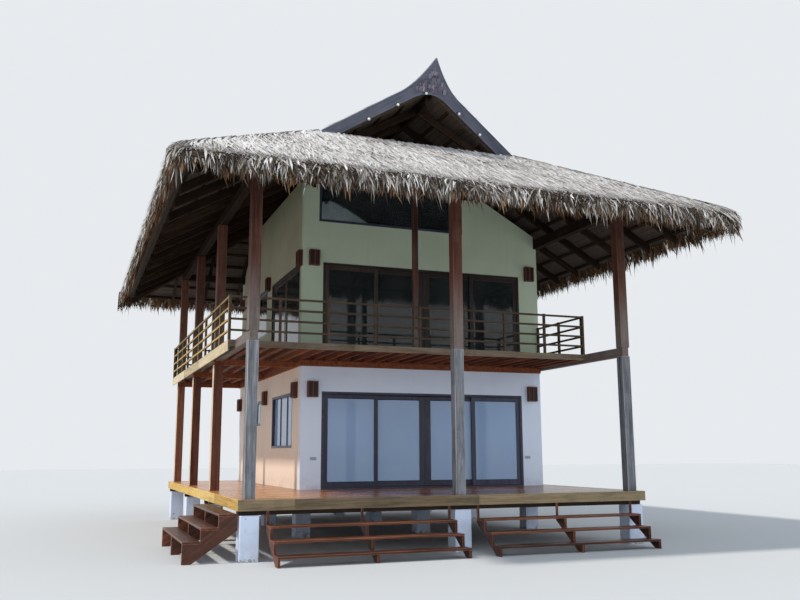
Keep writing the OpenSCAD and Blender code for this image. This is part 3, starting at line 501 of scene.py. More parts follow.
# Each wood: its dark, middle and pale grain, how far it is weathered, to what colour, and what else marks it
WOODS = {
    # Its left part takes a painted sunlit patch in orange.
    "deck_wood": (
        (0.06, 0.017, 0.008), (0.21, 0.07, 0.028), (0.48, 0.2, 0.08), 0.1, (0.3, 0.28, 0.26),
        {"rough": (0.16, 0.34), "wear": 0.3, "relief": 0.001, "shine": 0.25,
         "painted_sun_patch": (-2.6, -1.5, (0.62, 0.28, 0.09))}),
    "fascia_wood": (
        (0.09, 0.062, 0.036), (0.24, 0.17, 0.095), (0.42, 0.32, 0.18), 0.3, (0.16, 0.135, 0.1),
        {"rough": (0.45, 0.7), "cracks": 0.35}),
    # A sunlit copy of fascia_wood for the left side of the deck fascia: painted sunlight.
    "sunlit_fascia_wood": (
        (0.36, 0.18, 0.04), (0.66, 0.41, 0.11), (0.8, 0.57, 0.22), 0.1, (0.48, 0.34, 0.14),
        {"rough": (0.45, 0.7), "cracks": 0.3, "shine": 0.1}),
    "stair_wood": (
        (0.025, 0.008, 0.005), (0.085, 0.027, 0.014), (0.28, 0.095, 0.045), 0.16, (0.13, 0.09, 0.07),
        {"wear": 0.7, "cracks": 0.4, "rough": (0.28, 0.5), "shine": 0.25}),
    # Darkened as painted shade under the deck.
    "underdeck_timber": (
        (0.012, 0.007, 0.005), (0.035, 0.018, 0.011), (0.075, 0.042, 0.027), 0.1, (0.06, 0.05, 0.04),
        {"cracks": 0.3}),
    "frame_wood": (
        (0.012, 0.01, 0.02), (0.034, 0.033, 0.06), (0.08, 0.08, 0.13), 0.2, (0.08, 0.1, 0.17),
        {"rough": (0.28, 0.48), "relief": 0.0008, "dirt": 0.2, "shine": 0.4}),
    # A darker, browner copy of frame_wood for the upper doors: painted shade under the roof.
    "shaded_frame": (
        (0.012, 0.007, 0.006), (0.038, 0.023, 0.018), (0.1, 0.064, 0.048), 0.2, (0.075, 0.06, 0.06),
        {"rough": (0.3, 0.5), "relief": 0.0008, "dirt": 0.2, "shine": 0.3}),
    "lamp_wood": (
        (0.04, 0.011, 0.009), (0.13, 0.034, 0.024), (0.27, 0.085, 0.05), 0.1, (0.08, 0.055, 0.05),
        {"rough": (0.35, 0.55), "relief": 0.0008, "shine": 0.3}),
    # Lamp wood darkened for the panels: painted shade of the lantern's recess.
    "lamp_panel": (
        (0.008, 0.004, 0.004), (0.024, 0.012, 0.01), (0.05, 0.026, 0.02), 0.1, (0.03, 0.02, 0.018),
        {"rough": (0.35, 0.55), "relief": 0.0008, "shine": 0.3}),
    "balcony_timber": (
        (0.05, 0.013, 0.007), (0.17, 0.042, 0.016), (0.36, 0.11, 0.04), 0.1, (0.14, 0.08, 0.05),
        {"cracks": 0.2}),
    "balcony_wood": (
        (0.07, 0.045, 0.03), (0.19, 0.135, 0.085), (0.34, 0.26, 0.17), 0.3, (0.2, 0.17, 0.14),
        {"cracks": 0.35}),
    # A sunlit copy of balcony_wood for the left side of the balcony fascia: painted sunlight.
    "sunlit_balcony_wood": (
        (0.3, 0.22, 0.12), (0.62, 0.49, 0.31), (0.78, 0.66, 0.46), 0.15, (0.36, 0.31, 0.25),
        {"cracks": 0.35}),
    "grey_timber": (
        (0.045, 0.043, 0.047), (0.19, 0.19, 0.2), (0.46, 0.45, 0.46), 0.3, (0.19, 0.22, 0.28),
        {"cracks": 0.8, "wear": 0.6, "relief": 0.003}),
    # Its faces toward the sun are painted paler: painted sunlight, partly sun-bleaching.
    "red_timber": (
        (0.045, 0.014, 0.008), (0.16, 0.05, 0.028), (0.32, 0.13, 0.075), 0.16, (0.16, 0.11, 0.09),
        {"cracks": 0.45, "sunlit_faces": (0.82, 0.63, 0.42)}),
    "post_timber": (
        (0.036, 0.012, 0.008), (0.125, 0.039, 0.022), (0.25, 0.1, 0.06), 0.16, (0.2, 0.17, 0.155),
        {"cracks": 0.5, "foot": (4.3, 5.5)}),
    "rail_wood": (
        (0.016, 0.01, 0.006), (0.05, 0.031, 0.018), (0.12, 0.078, 0.046), 0.2, (0.08, 0.062, 0.048),
        {"wear": 0.4, "cracks": 0.3}),
    # A sunlit copy of rail_wood for the left railing: painted sunlight, with its faces toward the sun painted
    # paler still.
    "sunlit_rail_wood": (
        (0.05, 0.025, 0.01), (0.17, 0.1, 0.04), (0.36, 0.24, 0.11), 0.2, (0.2, 0.15, 0.09),
        {"cracks": 0.3, "sunlit_faces": (0.62, 0.42, 0.17)}),
    # Darkened as painted shade under the roof.
    "roof_timber": (
        (0.007, 0.0045, 0.003), (0.024, 0.013, 0.008), (0.065, 0.038, 0.024), 0.2, (0.045, 0.034, 0.026),
        {"cracks": 0.3, "rough": (0.8, 0.98), "shine": 0.05}),
    # Weathered grey, with a blue cast that is painted skylight in shade.
    "shingle_wood": (
        (0.035, 0.04, 0.052), (0.085, 0.1, 0.135), (0.18, 0.19, 0.23), 0.9, (0.15, 0.14, 0.185),
        {"cracks": 0.7, "wear": 0.8}),
    "shingle_dark": (
        (0.02, 0.018, 0.026), (0.14, 0.125, 0.16), (0.4, 0.36, 0.42), 0.35, (0.13, 0.135, 0.18),
        {"cracks": 0.6, "wear": 0.9}),
}

# Each plaster: its colour, that of its clouds, how streaked it is and, upstairs, the height of its foot
PLASTERS = {
    # White paint with a bluish cast that is painted skylight in shade.
    "white_plaster": ((0.79, 0.85, 0.98), (0.74, 0.8, 0.94), 0.1),
    # The same white paint, warmed as painted bounce light from the sunlit deck.
    "side_plaster": ((0.92, 0.76, 0.64), (0.88, 0.7, 0.57), 0.12),
    # Cream paint darkened and yellowed: painted shade and bounce light on the upper side walls.
    "shaded_plaster": ((0.46, 0.44, 0.29), (0.4, 0.37, 0.24), 0.2, 4.0),
    # Cream paint with a green cast that is painted bounce light from greenery in shade.
    "cream_plaster": ((0.6, 0.68, 0.5), (0.54, 0.61, 0.44), 0.15, 4.0),
    "socket": ((0.42, 0.42, 0.46), (0.36, 0.36, 0.4), 0.1),
}

# Each leaf: its material, how dark its root is painted as shade, and its colours from the darkest blade to
# the palest
LEAVES = {
    "leaf": ("leaf_blades", 0.2, (0.0, (0.08, 0.062, 0.05)), (0.16, (0.3, 0.265, 0.24)),
             (0.36, (0.62, 0.585, 0.565)), (0.7, (0.82, 0.79, 0.775)), (1.0, (0.93, 0.91, 0.895))),
    "fringe": ("fringe_blades", 0.6, (0.0, (0.03, 0.017, 0.01)), (0.3, (0.09, 0.062, 0.043)),
               (0.55, (0.31, 0.265, 0.225)), (0.8, (0.68, 0.635, 0.585)), (1.0, (0.92, 0.88, 0.83))),
    "old_leaf": ("old_leaf", 0.7, (0.0, (0.02, 0.011, 0.006)), (0.5, (0.1, 0.048, 0.022)),
                 (1.0, (0.36, 0.2, 0.09))),
}

# Painted reflection of the bright shore on the lower panes, and painted shade on the upper ones.
PANES_BELOW = (0.48, 0.66, 0.95)
PANES_ABOVE = (0.08, 0.1, 0.1)

FINISHES = {name: wood(name, *grain, **marks) for name, (*grain, marks) in WOODS.items()}
FINISHES |= {name: plaster(name, *coat) for name, coat in PLASTERS.items()}
FINISHES |= {name: leaf_blades(*look) for name, look in LEAVES.items()}
FINISHES |= {
    "white_concrete": painted_concrete("white_concrete"),
    "glass": glass("glass", PANES_BELOW, PANES_ABOVE),
    "thatch": thatch_bed("thatch_bed"),
    "bulb": bulb_glass("bulb_glass"),
}


# Making and keeping pieces

def keep(mesh, finish, slot=None, node=None, smooth_under=None):
    """Makes a mesh a finished piece, which rides where its node does and takes its place."""
    mesh.materials.clear()
    mesh.materials.append(FINISHES[finish])
    if smooth_under:
        mesh.polygons.foreach_set("use_smooth", [True] * len(mesh.polygons))
        mesh.set_sharp_from_angle(angle=math.radians(smooth_under))
    piece = put_in_scene(mesh.name, mesh)
    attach(piece, NODES[node]["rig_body"] if node else "house")
    slot or finish
    if node:
        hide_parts(node)


def merged_copy(node):
    """A bmesh of a node's surface, with its loose triangles joined into flat faces."""
    bm = bmesh.new()
    bm.from_mesh(NODES[node].data)
    bmesh.ops.remove_doubles(bm, verts=bm.verts, dist=ONE_POINT)
    bmesh.ops.dissolve_limit(bm, angle_limit=FLAT, verts=bm.verts, edges=bm.edges)
    return bm


def add_to(whole, part):
    """Adds one bmesh to another and frees it."""
    carrier = to_mesh(part, "carrier")
    whole.from_mesh(carrier)
    bpy.data.meshes.remove(carrier)


def all_of(bm):
    return bm.verts[:] + bm.edges[:] + bm.faces[:]


def verts_in(geometry):
    return [g for g in geometry if isinstance(g, bmesh.types.BMVert)]


def cut_between(bm, axis, low=-FAR, high=FAR):
    """A copy of a closed solid cut down to what lies between two planes, closed again."""
    part = bm.copy()
    for place, outward in ((low, -axis), (high, axis)):
        cut = bmesh.ops.bisect_plane(part, geom=all_of(part), dist=ONE_POINT / 10, plane_co=axis * place,
                                     plane_no=outward, clear_outer=True)
        rim = [g for g in cut["geom_cut"] if isinstance(g, bmesh.types.BMEdge) and g.is_boundary]
        if rim:
            bmesh.ops.holes_fill(part, edges=rim, sides=0)
    return part


def ease(bm, width, segments=1):
    """Rounds the sharp edges a little and marks what was rounded as worn."""
    worn = bm.faces.layers.float.get("worn") or bm.faces.layers.float.new("worn")
    edges = [e for e in bm.edges if len(e.link_faces) == 2 and e.calc_face_angle(0) > SHARP]
    rounded = bmesh.ops.bevel(bm, geom=edges, offset=width, offset_type="OFFSET", segments=segments,
                              profile=0.5, affect="EDGES", clamp_overlap=True, material=-1)
    for face in rounded["faces"]:
        face[worn] = 1


def separate(bm):
    """The vertices of each piece that hangs together, in a steady order."""
    bm.verts.ensure_lookup_table()
    bm.verts.index_update()
    seen = [False] * len(bm.verts)
    for start in bm.verts:
        if seen[start.index]:
            continue
        seen[start.index] = True
        group = [start]
        for vert in group:
            for edge in vert.link_edges:
                other = edge.other_vert(vert)
                if not seen[other.index]:
                    seen[other.index] = True
                    group.append(other)
        yield group


def span(group):
    """The low and the high corner of a group of vertices."""
    return [Vector([fit(v.co[axis] for v in group) for axis in range(3)]) for fit in (min, max)]


def lay_grain(bm, seed):
    """Gives each timber a tone of its own and coordinates along and across its longest edge."""
    draw = random.Random(seed)
    grain = bm.verts.layers.float_vector.new("grain")
    tone = bm.verts.layers.float.new("tone")
    for group in separate(bm):
        longest = max((e for v in group for e in v.link_edges), key=lambda e: round(e.calc_length(), 4))
        along = (longest.verts[1].co - longest.verts[0].co).normalized()
        side = along.cross(Z if abs(along.z) < 0.9 else X).normalized()
        up = along.cross(side)
        start = Vector([draw.uniform(0, GRAIN_SPREAD) for _ in range(3)])
        own_tone = draw.random()
        for vert in group:
            vert[grain] = start + Vector((vert.co.dot(along), vert.co.dot(side), vert.co.dot(up)))
            vert[tone] = own_tone


def finish_off(bm, name, finish, edge, segments, seed, node=None, slot=None):
    """Eases edges, lays the grain and keeps the piece."""
    ease(bm, edge, segments)
    lay_grain(bm, seed)
    keep(to_mesh(bm, name), finish, slot, node)


def dress(node, finish, edge=0.004, segments=1, shape=None, slot=None):
    """A copy of a node with eased edges and grain takes its place."""
    bm = merged_copy(node)
    if shape:
        shape(bm)
    finish_off(bm, node + "_dressed", finish, edge, segments, len(node), node, slot)


def saw_into_boards(node, finish, pitch, seed):
    """A slab sawn into boards that run from left to right, with gaps between them and butt joints."""
    draw = random.Random(seed)
    slab = merged_copy(node)
    low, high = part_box(node)
    boards = bmesh.new()
    count = round((high.y - low.y) / pitch)
    width = (high.y - low.y) / count
    for i in range(count):
        start = low.y + i * width
        strip = cut_between(slab, Y, start + BOARD_GAP / 2, start + width - BOARD_GAP / 2)
        place = low.x - draw.uniform(0, BOARD_LENGTH[1] - 2 * SHORTEST_BOARD)
        while place < high.x:
            end = max(place + draw.uniform(*BOARD_LENGTH), low.x + SHORTEST_BOARD)
            if high.x - end < SHORTEST_BOARD:
                end = FAR
            add_to(boards, cut_between(strip, X, place + HALF_JOINT, end - HALF_JOINT))
            place = end
        strip.free()
    slab.free()
    finish_off(boards, node + "_boards", finish, 0.003, 1, seed, node)


def in_planks(strip, along, joints):
    """Splits a strip at its joints and returns the planks as one bmesh."""
    planks = bmesh.new()
    ends = [-FAR, *joints, FAR]
    for start, end in zip(ends, ends[1:]):
        add_to(planks, cut_between(strip, AXES[along], start + HALF_JOINT, end - HALF_JOINT))
    strip.free()
    return planks


def dress_fascia(node, finish, sunlit, joints, seed):
    """A ring of boards on edge, with butt joints along each side, the left side in a sunlit copy of the
    finish: painted sunlight.
    """
    low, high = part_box(node)
    depth = FASCIA_THICKNESS
    whole = merged_copy(node)
    between = cut_between(whole, Y, low.y + depth + HALF_JOINT, high.y - depth - HALF_JOINT)
    strips = (
        ("front", cut_between(whole, Y, high=low.y + depth), 0, finish, seed + 1),
        ("rear", cut_between(whole, Y, low=high.y - depth), 0, finish, seed),
        ("left", cut_between(between, X, high=low.x + depth), 1, sunlit, seed),
        ("right", cut_between(between, X, low=high.x - depth), 1, finish, seed + 1),
    )
    between.free()
    whole.free()
    for side, strip, along, look, own_seed in strips:
        boards = in_planks(strip, along, joints.get(side, OTHER_JOINTS))
        finish_off(boards, node + "_" + side, look, 0.005, 2, own_seed, node, finish)


# Deck, floors and stairs

def dress_deck():
    saw_into_boards("deck_boards", "deck_wood", DECK_BOARD, seed=11)
    saw_into_boards("room_floor", "deck_wood", ROOM_BOARD, seed=12)
    saw_into_boards("upper_floor", "deck_wood", ROOM_BOARD, seed=13)
    saw_into_boards("balcony_boards", "balcony_wood", BALCONY_BOARD, seed=14)
    # The left side of each fascia takes a sunlit copy of its wood: painted sunlight.
    dress_fascia("deck_fascia", "fascia_wood", "sunlit_fascia_wood", DECK_JOINTS, seed=25)
    dress_fascia("balcony_fascia", "balcony_wood", "sunlit_balcony_wood", BALCONY_JOINTS, seed=26)
    # The timbers under the deck are in a wood darkened as painted shade.
    dress("deck_joists", "underdeck_timber")
    dress("deck_bearers", "underdeck_timber")
    dress("stair_stringers", "stair_wood", 0.006)
    dress("stair_treads", "stair_wood", 0.007, 2)


def dress_piers():
    bm = merged_copy("concrete_piers")
    finish_off(bm, "concrete_piers_dressed", "white_concrete", 0.012, 2, 1, "concrete_piers")


# Walls, doors and windows

def repaint(node, finish):
    NODES[node].data.materials.clear()
    NODES[node].data.materials.append(FINISHES[finish])


def dress_walls():
    # The walls carry painted light in their plasters: a bluish skylit front, a warm bounce-lit lower side, a
    # shaded upper side and a green cast at the upper front.
    for node in ("lower_wall_door_left", "lower_wall_door_right", "lower_wall_door_head", "lower_rear_wall"):
        repaint(node, "white_plaster")
    repaint("lower_side_walls", "side_plaster")
    repaint("upper_side_walls", "shaded_plaster")
    for node in ("upper_front_wall", "upper_rear_wall"):
        repaint(node, "cream_plaster")


def cut_moulding(bm):
    """Cuts a step round the front and the rear faces of a door frame or leaf."""
    for sign in (1, -1):
        faces = [f for f in bm.faces if f.normal.y * sign > 0.99]
        bmesh.ops.inset_region(bm, faces=faces, thickness=MOULDING_WIDTH, depth=-MOULDING_DEPTH,
                               use_even_offset=True, use_boundary=True)


def dress_doors():
    for node in ("lower_door_frame", "fixed_leaves", "sliding_leaf_left", "sliding_leaf_right"):
        dress(node, "frame_wood", 0.003, shape=cut_moulding)
    # The upper doors take a shaded copy of the frame wood: painted shade.
    for node in ("upper_door_frames", "upper_door_leaves"):
        dress(node, "shaded_frame", 0.003, slot="frame_wood")
    dress("window_frames", "frame_wood", 0.003)
    for node in ("window_glass", "sliding_glass_left", "sliding_glass_right"):
        repaint(node, "glass")
    dress_lamps()
    add_window_bars()
    add_sockets()


def block(bm, low, high):
    """Adds a block between two corners and returns its vertices."""
    low, high = Vector(low), Vector(high)
    made = bmesh.ops.create_cube(bm, size=1)["verts"]
    bmesh.ops.scale(bm, verts=made, vec=high - low)
    bmesh.ops.translate(bm, verts=made, vec=(low + high) / 2)
    return made


def add_lamp(frames, panels, low, high):
    """A lantern: cap, foot, bars at the corners and up the middle of each side, and dark panels between."""
    block(frames, (low.x, low.y, high.z - LAMP_CAP), high)
    block(frames, low, (high.x, high.y, low.z + LAMP_CAP))
    inset = Vector((LAMP_PANEL_INSET, LAMP_PANEL_INSET, LAMP_CAP))
    # The panels take the darkened lamp wood: painted shade.
    block(panels, low + inset, high - inset)
    middle = (low + high) / 2
    for x in (low.x, middle.x - LAMP_BAR / 2, high.x - LAMP_BAR):
        for y in (low.y, middle.y - LAMP_BAR / 2, high.y - LAMP_BAR):
            if abs(x - middle.x) + abs(y - middle.y) > 2 * LAMP_BAR:
                block(frames, (x, y, low.z + LAMP_CAP), (x + LAMP_BAR, y + LAMP_BAR, high.z - LAMP_CAP))


def dress_lamps():
    source = merged_copy("wall_lamps")
    frames = bmesh.new()
    panels = bmesh.new()
    for group in separate(source):
        add_lamp(frames, panels, *span(group))
    source.free()
    finish_off(frames, "wall_lamps_frames", "lamp_wood", 0.002, 1, 31, "wall_lamps")
    finish_off(panels, "wall_lamps_panels", "lamp_panel", 0.002, 1, 31, "wall_lamps", "lamp_wood")


def add_window_bars():
    """Upright bars that divide each lower side window in three."""
    source = merged_copy("window_glass")
    bars = bmesh.new()
    for group in separate(source):
        low, high = span(group)
        if high.x - low.x > BAR_WIDTH or high.z > BALCONY_Z:
            continue
        for share in BAR_PLACES:
            y = low.y + (high.y - low.y) * share
            for face, outward in ((low.x, -1), (high.x, 1)):
                near, far = sorted((face, face + outward * BAR_DEPTH))
                block(bars, (near, y - BAR_WIDTH / 2, low.z), (far, y + BAR_WIDTH / 2, high.z))
    source.free()
    finish_off(bars, "window_bars", "frame_wood", 0.003, 1, 32)


def add_sockets():
    """Small cover plates beside the doors."""
    plates = bmesh.new()
    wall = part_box("lower_wall_door_left")[0].y
    for x in SOCKET_PLACES:
        place = Vector((x, wall, 0))
        for low, high in (SOCKET_PLATE, SOCKET_SWITCH):
            block(plates, place + Vector(low), place + Vector(high))
    finish_off(plates, "wall_sockets", "socket", 0.003, 2, 33, slot="white_plaster")


# Balcony, posts and roof frame

def dress_posts():
    """The front row stands in the weather and is grey, and the left row keeps its colour, with its faces
    toward the sun painted paler, as sunlight and sun-bleaching.
    """
    whole = merged_copy("lower_posts")
    front = cut_between(whole, Y, high=FRONT_ROW_Y)
    left = cut_between(whole, Y, low=FRONT_ROW_Y)
    whole.free()
    finish_off(front, "lower_posts_front", "grey_timber", 0.008, 2, 11, "lower_posts")
    finish_off(left, "lower_posts_left", "red_timber", 0.008, 2, 10, "lower_posts", "grey_timber")
    upper = merged_copy("upper_posts")
    finish_off(upper, "upper_posts_dressed", "post_timber", 0.007, 2, 7, "upper_posts", "red_timber")


def add_blocking():
    """Boards between the ends of the balcony joists, over the front wall."""
    source = merged_copy("balcony_joists")
    wall_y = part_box("lower_wall_door_head")[0].y
    spans = []
    for group in separate(source):
        low, high = span(group)
        if abs(high.y - wall_y) < BLOCKING:
            spans.append((low.x, high.x, low.z, high.z))
    source.free()
    blocks = bmesh.new()
    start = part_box("lower_wall_door_left")[0].x
    for low_x, high_x, low_z, high_z in sorted(spans):
        block(blocks, (start, wall_y - BLOCKING, low_z), (low_x, wall_y, high_z))
        start = high_x
    finish_off(blocks, "joist_blocking", "balcony_timber", 0.002, 1, 42)


def dress_bargeboards():
    """Boards with a raised border, halved at the peak so that grain follows each arm."""
    whole = merged_copy("bargeboards")
    arms = bmesh.new()
    add_to(arms, cut_between(whole, X, high=-HALF_JOINT))
    add_to(arms, cut_between(whole, X, low=HALF_JOINT))
    whole.free()
    outer = [f for f in arms.faces if abs(f.normal.y) > 0.8 and f.normal.y * f.calc_center_median().y > 0]
    bmesh.ops.inset_region(arms, faces=outer, thickness=BARGE_BORDER, depth=-BARGE_RECESS,
                           use_even_offset=True, use_boundary=True)
    finish_off(arms, "bargeboards_dressed", "shingle_wood", 0.004, 1, 41, "bargeboards")


def dress_frame():
    dress_posts()
    dress("tie_beams", "post_timber", slot="grey_timber")
    for node in ("balcony_beams", "balcony_joists"):
        dress(node, "balcony_timber")
    dress("front_railing", "rail_wood")
    # The left railing takes a sunlit copy of the rail wood: painted sunlight.
    dress("left_railing", "sunlit_rail_wood", slot="rail_wood")
    dress("end_railings", "rail_wood")
    # The roof timbers are in a wood darkened as painted shade.
    for node in ("plate_beams", "gable_beams", "rafters", "battens"):
        dress(node, "roof_timber")
    add_blocking()
    dress_bargeboards()


# Thatch

class Roof:
    """The roof's lines, read from the thatch nodes."""

    def __init__(self):
        low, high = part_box("end_thatch")
        ends = [v.co for v in NODES["end_thatch"].data.vertices]
        self.half_w = high.x
        self.half_d = high.y
        self.reach = (high.x, high.y)
        self.gable_z = high.z
        self.gable_y = min(abs(c.y) for c in ends)
        self.gable_half_w = max(abs(c.x) for c in ends if abs(abs(c.y) - self.gable_y) < ONE_POINT)
        self.run = self.half_d - self.gable_y
        self.ridge_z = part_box("left_thatch")[1].z
        self.slope = (self.ridge_z - self.gable_z) / (self.half_w - self.run)
        self.eave_z = self.gable_z - self.slope * self.run
        ridge_y = max(abs(v.co.y) for v in NODES["left_thatch"].data.vertices
                      if abs(v.co.z - self.ridge_z) < ONE_POINT)
        self.rake = (ridge_y - self.gable_y) / (self.ridge_z - self.gable_z)
        self.pitch = math.atan(self.slope)


ROOF = Roof()


def blade(*rings):
    """A closed three-sided blade, one long and one wide, with rings at places and widths along it."""
    bm = bmesh.new()
    bmesh.ops.create_cone(bm, cap_ends=True, cap_tris=True, segments=3, radius1=0.5, radius2=0, depth=1)
    bmesh.ops.remove_doubles(bm, verts=bm.verts, dist=ONE_POINT)
    bmesh.ops.translate(bm, verts=bm.verts, vec=(0, 0, 0.5))
    for place, width in rings:
        cut = bmesh.ops.bisect_plane(bm, geom=all_of(bm), dist=ONE_POINT, plane_co=Z * place, plane_no=Z)
        wider = width / (1 - place)
        bmesh.ops.scale(bm, verts=verts_in(cut["geom_cut"]), vec=(wider, wider, 1))
    bmesh.ops.triangulate(bm, faces=bm.faces)
    bm.verts.index_update()
    points = np.array([v.co for v in bm.verts])
    triangles = np.array([[v.index for v in f.verts] for f in bm.faces])
    bm.free()
    return points, triangles


def unit(vectors):
    return vectors / np.linalg.norm(vectors, axis=-1, keepdims=True)


def grow(name, finish, shape, roots, along, side, length, width, sag, seed, tone_shift=0.0):
    """A joined mesh of blades, each laid from its root along a direction and bent down by its sag."""
    points, triangles = shape
    draw = np.random.default_rng(seed)
    count = len(roots)
    along = unit(along)
    side = unit(side)
    lift = unit(np.cross(along, side))
    across = points[:, 0][None, :, None] * (width[:, None] * side)[:, None, :]
    thick = points[:, 1][None, :, None] * (BLADE_THICKNESS * width[:, None] * lift)[:, None, :]
    reach = points[:, 2][None, :, None]
    placed = roots[:, None, :] + across + thick + reach * (length[:, None] * along)[:, None, :]
    placed[:, :, 2] -= reach[:, :, 0] ** 2 * sag[:, None]
    for axis, limit in enumerate(ROOF.reach):
        past = (abs(placed[:, :, axis]).max(axis=1, keepdims=True) - limit).clip(0)
        placed[:, :, axis] -= np.sign(roots[:, axis:axis + 1]) * past
    faces = (triangles[None, :, :] + (np.arange(count) * len(points))[:, None, None]).reshape(-1, 3)
    mesh = bpy.data.meshes.new(name)
    mesh.from_pydata(placed.reshape(-1, 3), (), faces)
    tones = np.clip(draw.beta(*BLADE_TONES, count) + tone_shift, 0, 1)
    for layer, values in (("tone", np.repeat(tones, len(points))), ("reach", np.tile(points[:, 2], count))):
        attribute = mesh.attributes.new(layer, "FLOAT", "POINT")
        attribute.data.foreach_set("value", values.astype(np.float32))
    keep(mesh, finish, "thatch")


def slope_points(draw, count, sides):
    """Places over the two side slopes or the two end slopes, with the way each looks out."""
    x = draw.uniform(-ROOF.half_w, ROOF.half_w, count)
    y = draw.uniform(-ROOF.half_d, ROOF.half_d, count)
    from_side = ROOF.half_w - abs(x)
    from_end = ROOF.half_d - abs(y)
    if sides:
        rise = from_side * ROOF.slope + ROOF.eave_z - ROOF.gable_z
        raked = abs(y) < ROOF.gable_y + rise * ROOF.rake - BARGE_CLEARANCE
        held = ((abs(x) < ROOF.gable_half_w) & raked) | (from_side <= from_end)
        away = from_side
        outward = columns([np.sign(x), np.zeros(count)])
    else:
        held = (from_end < ROOF.run - GABLE_CLEARANCE) & (from_end < from_side)
        away = from_end
        outward = columns([np.zeros(count), np.sign(y)])
    held &= away > NOSE_REACH
    roots = columns([x, y, ROOF.eave_z + ROOF.slope * away])
    return roots[held], outward[held]


def grow_slopes():
    """Loose blades over the four slopes, combed down them."""
    draw = np.random.default_rng(41)
    count = int(4 * ROOF.half_w * ROOF.half_d / math.cos(ROOF.pitch) * BLADES_PER_SQUARE)
    shape = blade()
    for sides, slopes in SLOPES:
        roots, outward = slope_points(draw, count, sides)
        held = len(roots)
        down = unit(columns([outward, np.full(held, -ROOF.slope)]))
        normal = unit(columns([outward * ROOF.slope, np.ones(held)]))
        sideways = np.cross(down, normal)
        swing = draw.normal(0, BLADE_SWING, (held, 1)) * sideways
        along = down + swing + draw.uniform(0, BLADE_LIFT, (held, 1)) * normal
        length = draw.uniform(*BLADE_LENGTH, held)
        width = draw.uniform(*BLADE_WIDTH, held)
        roots = roots + normal * draw.uniform(0.0, BLADE_LOOSE, (held, 1))
        sag = length * draw.uniform(*BLADE_SAG, held)
        for name, sign, seed in slopes:
            pick = outward.sum(axis=1) == sign
            blades = (values[pick] for values in (roots, along, sideways, length, width, sag))
            grow("thatch_blades_" + name, "leaf", shape, *blades, seed)


def grow_caps():
    """Leaves laid over the ridge and down the four hips."""
    draw = np.random.default_rng(44)
    ridge_half = ROOF.gable_y + (ROOF.ridge_z - ROOF.gable_z) * ROOF.rake - BARGE_CLEARANCE
    count = int(2 * ridge_half * CAP_LEAVES)
    way = np.where(draw.random(count) < 0.5, -1.0, 1.0)
    start = draw.uniform(-ridge_half, ridge_half, count)
    ridge = columns([-CAP_START * way, start, np.full(count, ROOF.ridge_z)])
    over = columns([way, draw.normal(0, CAP_SWING, count), np.full(count, -ROOF.slope)])
    quarter = np.sign(draw.uniform(-1, 1, (2 * count, 2)))
    away = draw.uniform(NOSE_REACH, ROOF.run, (2 * count, 1))
    hips = columns([quarter * (ROOF.reach - away), ROOF.eave_z + ROOF.slope * away])
    swing = draw.normal(0, HIP_SWING, (2 * count, 1))
    across = quarter[:, ::-1] * (1, -1)
    down = columns([quarter + across * swing, -ROOF.slope * (1 + abs(swing))])
    roots = np.concatenate([ridge, hips])
    roots[:, 2] += draw.uniform(*CAP_LOOSE, 3 * count)
    along = np.concatenate([over, down])
    side = columns([-along[:, 1], along[:, 0], np.zeros(3 * count)])
    length = draw.uniform(*CAP_LENGTH, 3 * count)
    width = draw.uniform(*BLADE_WIDTH, 3 * count)
    sag = CAP_SAG * length
    grow("thatch_caps", "leaf", blade((0.4, 1)), roots, along, -side, length, width, sag, 71, CAP_TONE)


def eave_points(draw, count):
    """Places in clumps along the four eaves and at their corners, with the way each looks out and swings."""
    clumps = count // CLUMP
    sides = draw.random(clumps) < ROOF.half_d / (ROOF.half_d + ROOF.half_w)
    sign = np.where(draw.random(clumps) < 0.5, -1.0, 1.0)
    run = draw.uniform(-1, 1, clumps)
    edge = columns([np.where(sides, sign, run), np.where(sides, run, sign)])
    edge = edge * ROOF.reach
    outward = columns([np.where(sides, sign, 0), np.where(sides, 0, sign)])
    corner = (draw.random(clumps) < CORNER_SHARE)[:, None]
    quarter = np.sign(draw.uniform(-1, 1, (clumps, 2)))
    edge = np.where(corner, quarter * ROOF.reach, edge)
    outward = np.where(corner, quarter, outward)
    swing = draw.normal(0, CLUMP_SWING, (clumps, 1))
    pick = draw.integers(0, clumps, count)
    return edge[pick], outward[pick], swing[pick]


def grow_fringe():
    """Shaggy layers that hang over the eaves: the top one lighter as painted light, the nose darker as
    painted shade, and the lowest of older leaf.
    """
    draw = np.random.default_rng(43)
    perimeter = 4 * (ROOF.half_w + ROOF.half_d)
    shape = blade((0.4, 1), (0.75, 0.8))
    for seed, (name, finish, density, setbacks, depths, gaps, hangs, tone) in enumerate(FRINGE):
        count = int(perimeter * density)
        edge, outward, swing = eave_points(draw, count)
        level = columns([outward, np.zeros(count)])
        sideways = unit(np.cross(level, Z))
        setback = draw.uniform(*setbacks, (count, 1))
        place = edge - outward * setback + sideways[:, :2] * draw.normal(0, CLUMP_REACH, (count, 1))
        away = np.min(ROOF.reach - abs(place), axis=1, keepdims=True).clip(0)
        roots = columns([place, ROOF.eave_z + ROOF.slope * away - draw.uniform(*depths, (count, 1))])
        reach = setback - draw.uniform(*gaps, (count, 1))
        swing = swing + draw.normal(0, FRINGE_SWING, (count, 1))
        run = level * reach + sideways * swing - np.array(Z) * ROOF.slope * np.minimum(reach, away)
        twist = draw.normal(0, FRINGE_TWIST, (count, 1))
        side = sideways * np.cos(twist) + unit(level) * np.sin(twist)
        hang = draw.uniform(*hangs, count) * np.where(draw.random(count) < LONG_SHARE, LONG_HANG, 1)
        width = draw.uniform(*FRINGE_WIDTH, count)
        grow(name, finish, shape, roots, run, side, np.linalg.norm(run, axis=1), width, hang, 60 + seed, tone)


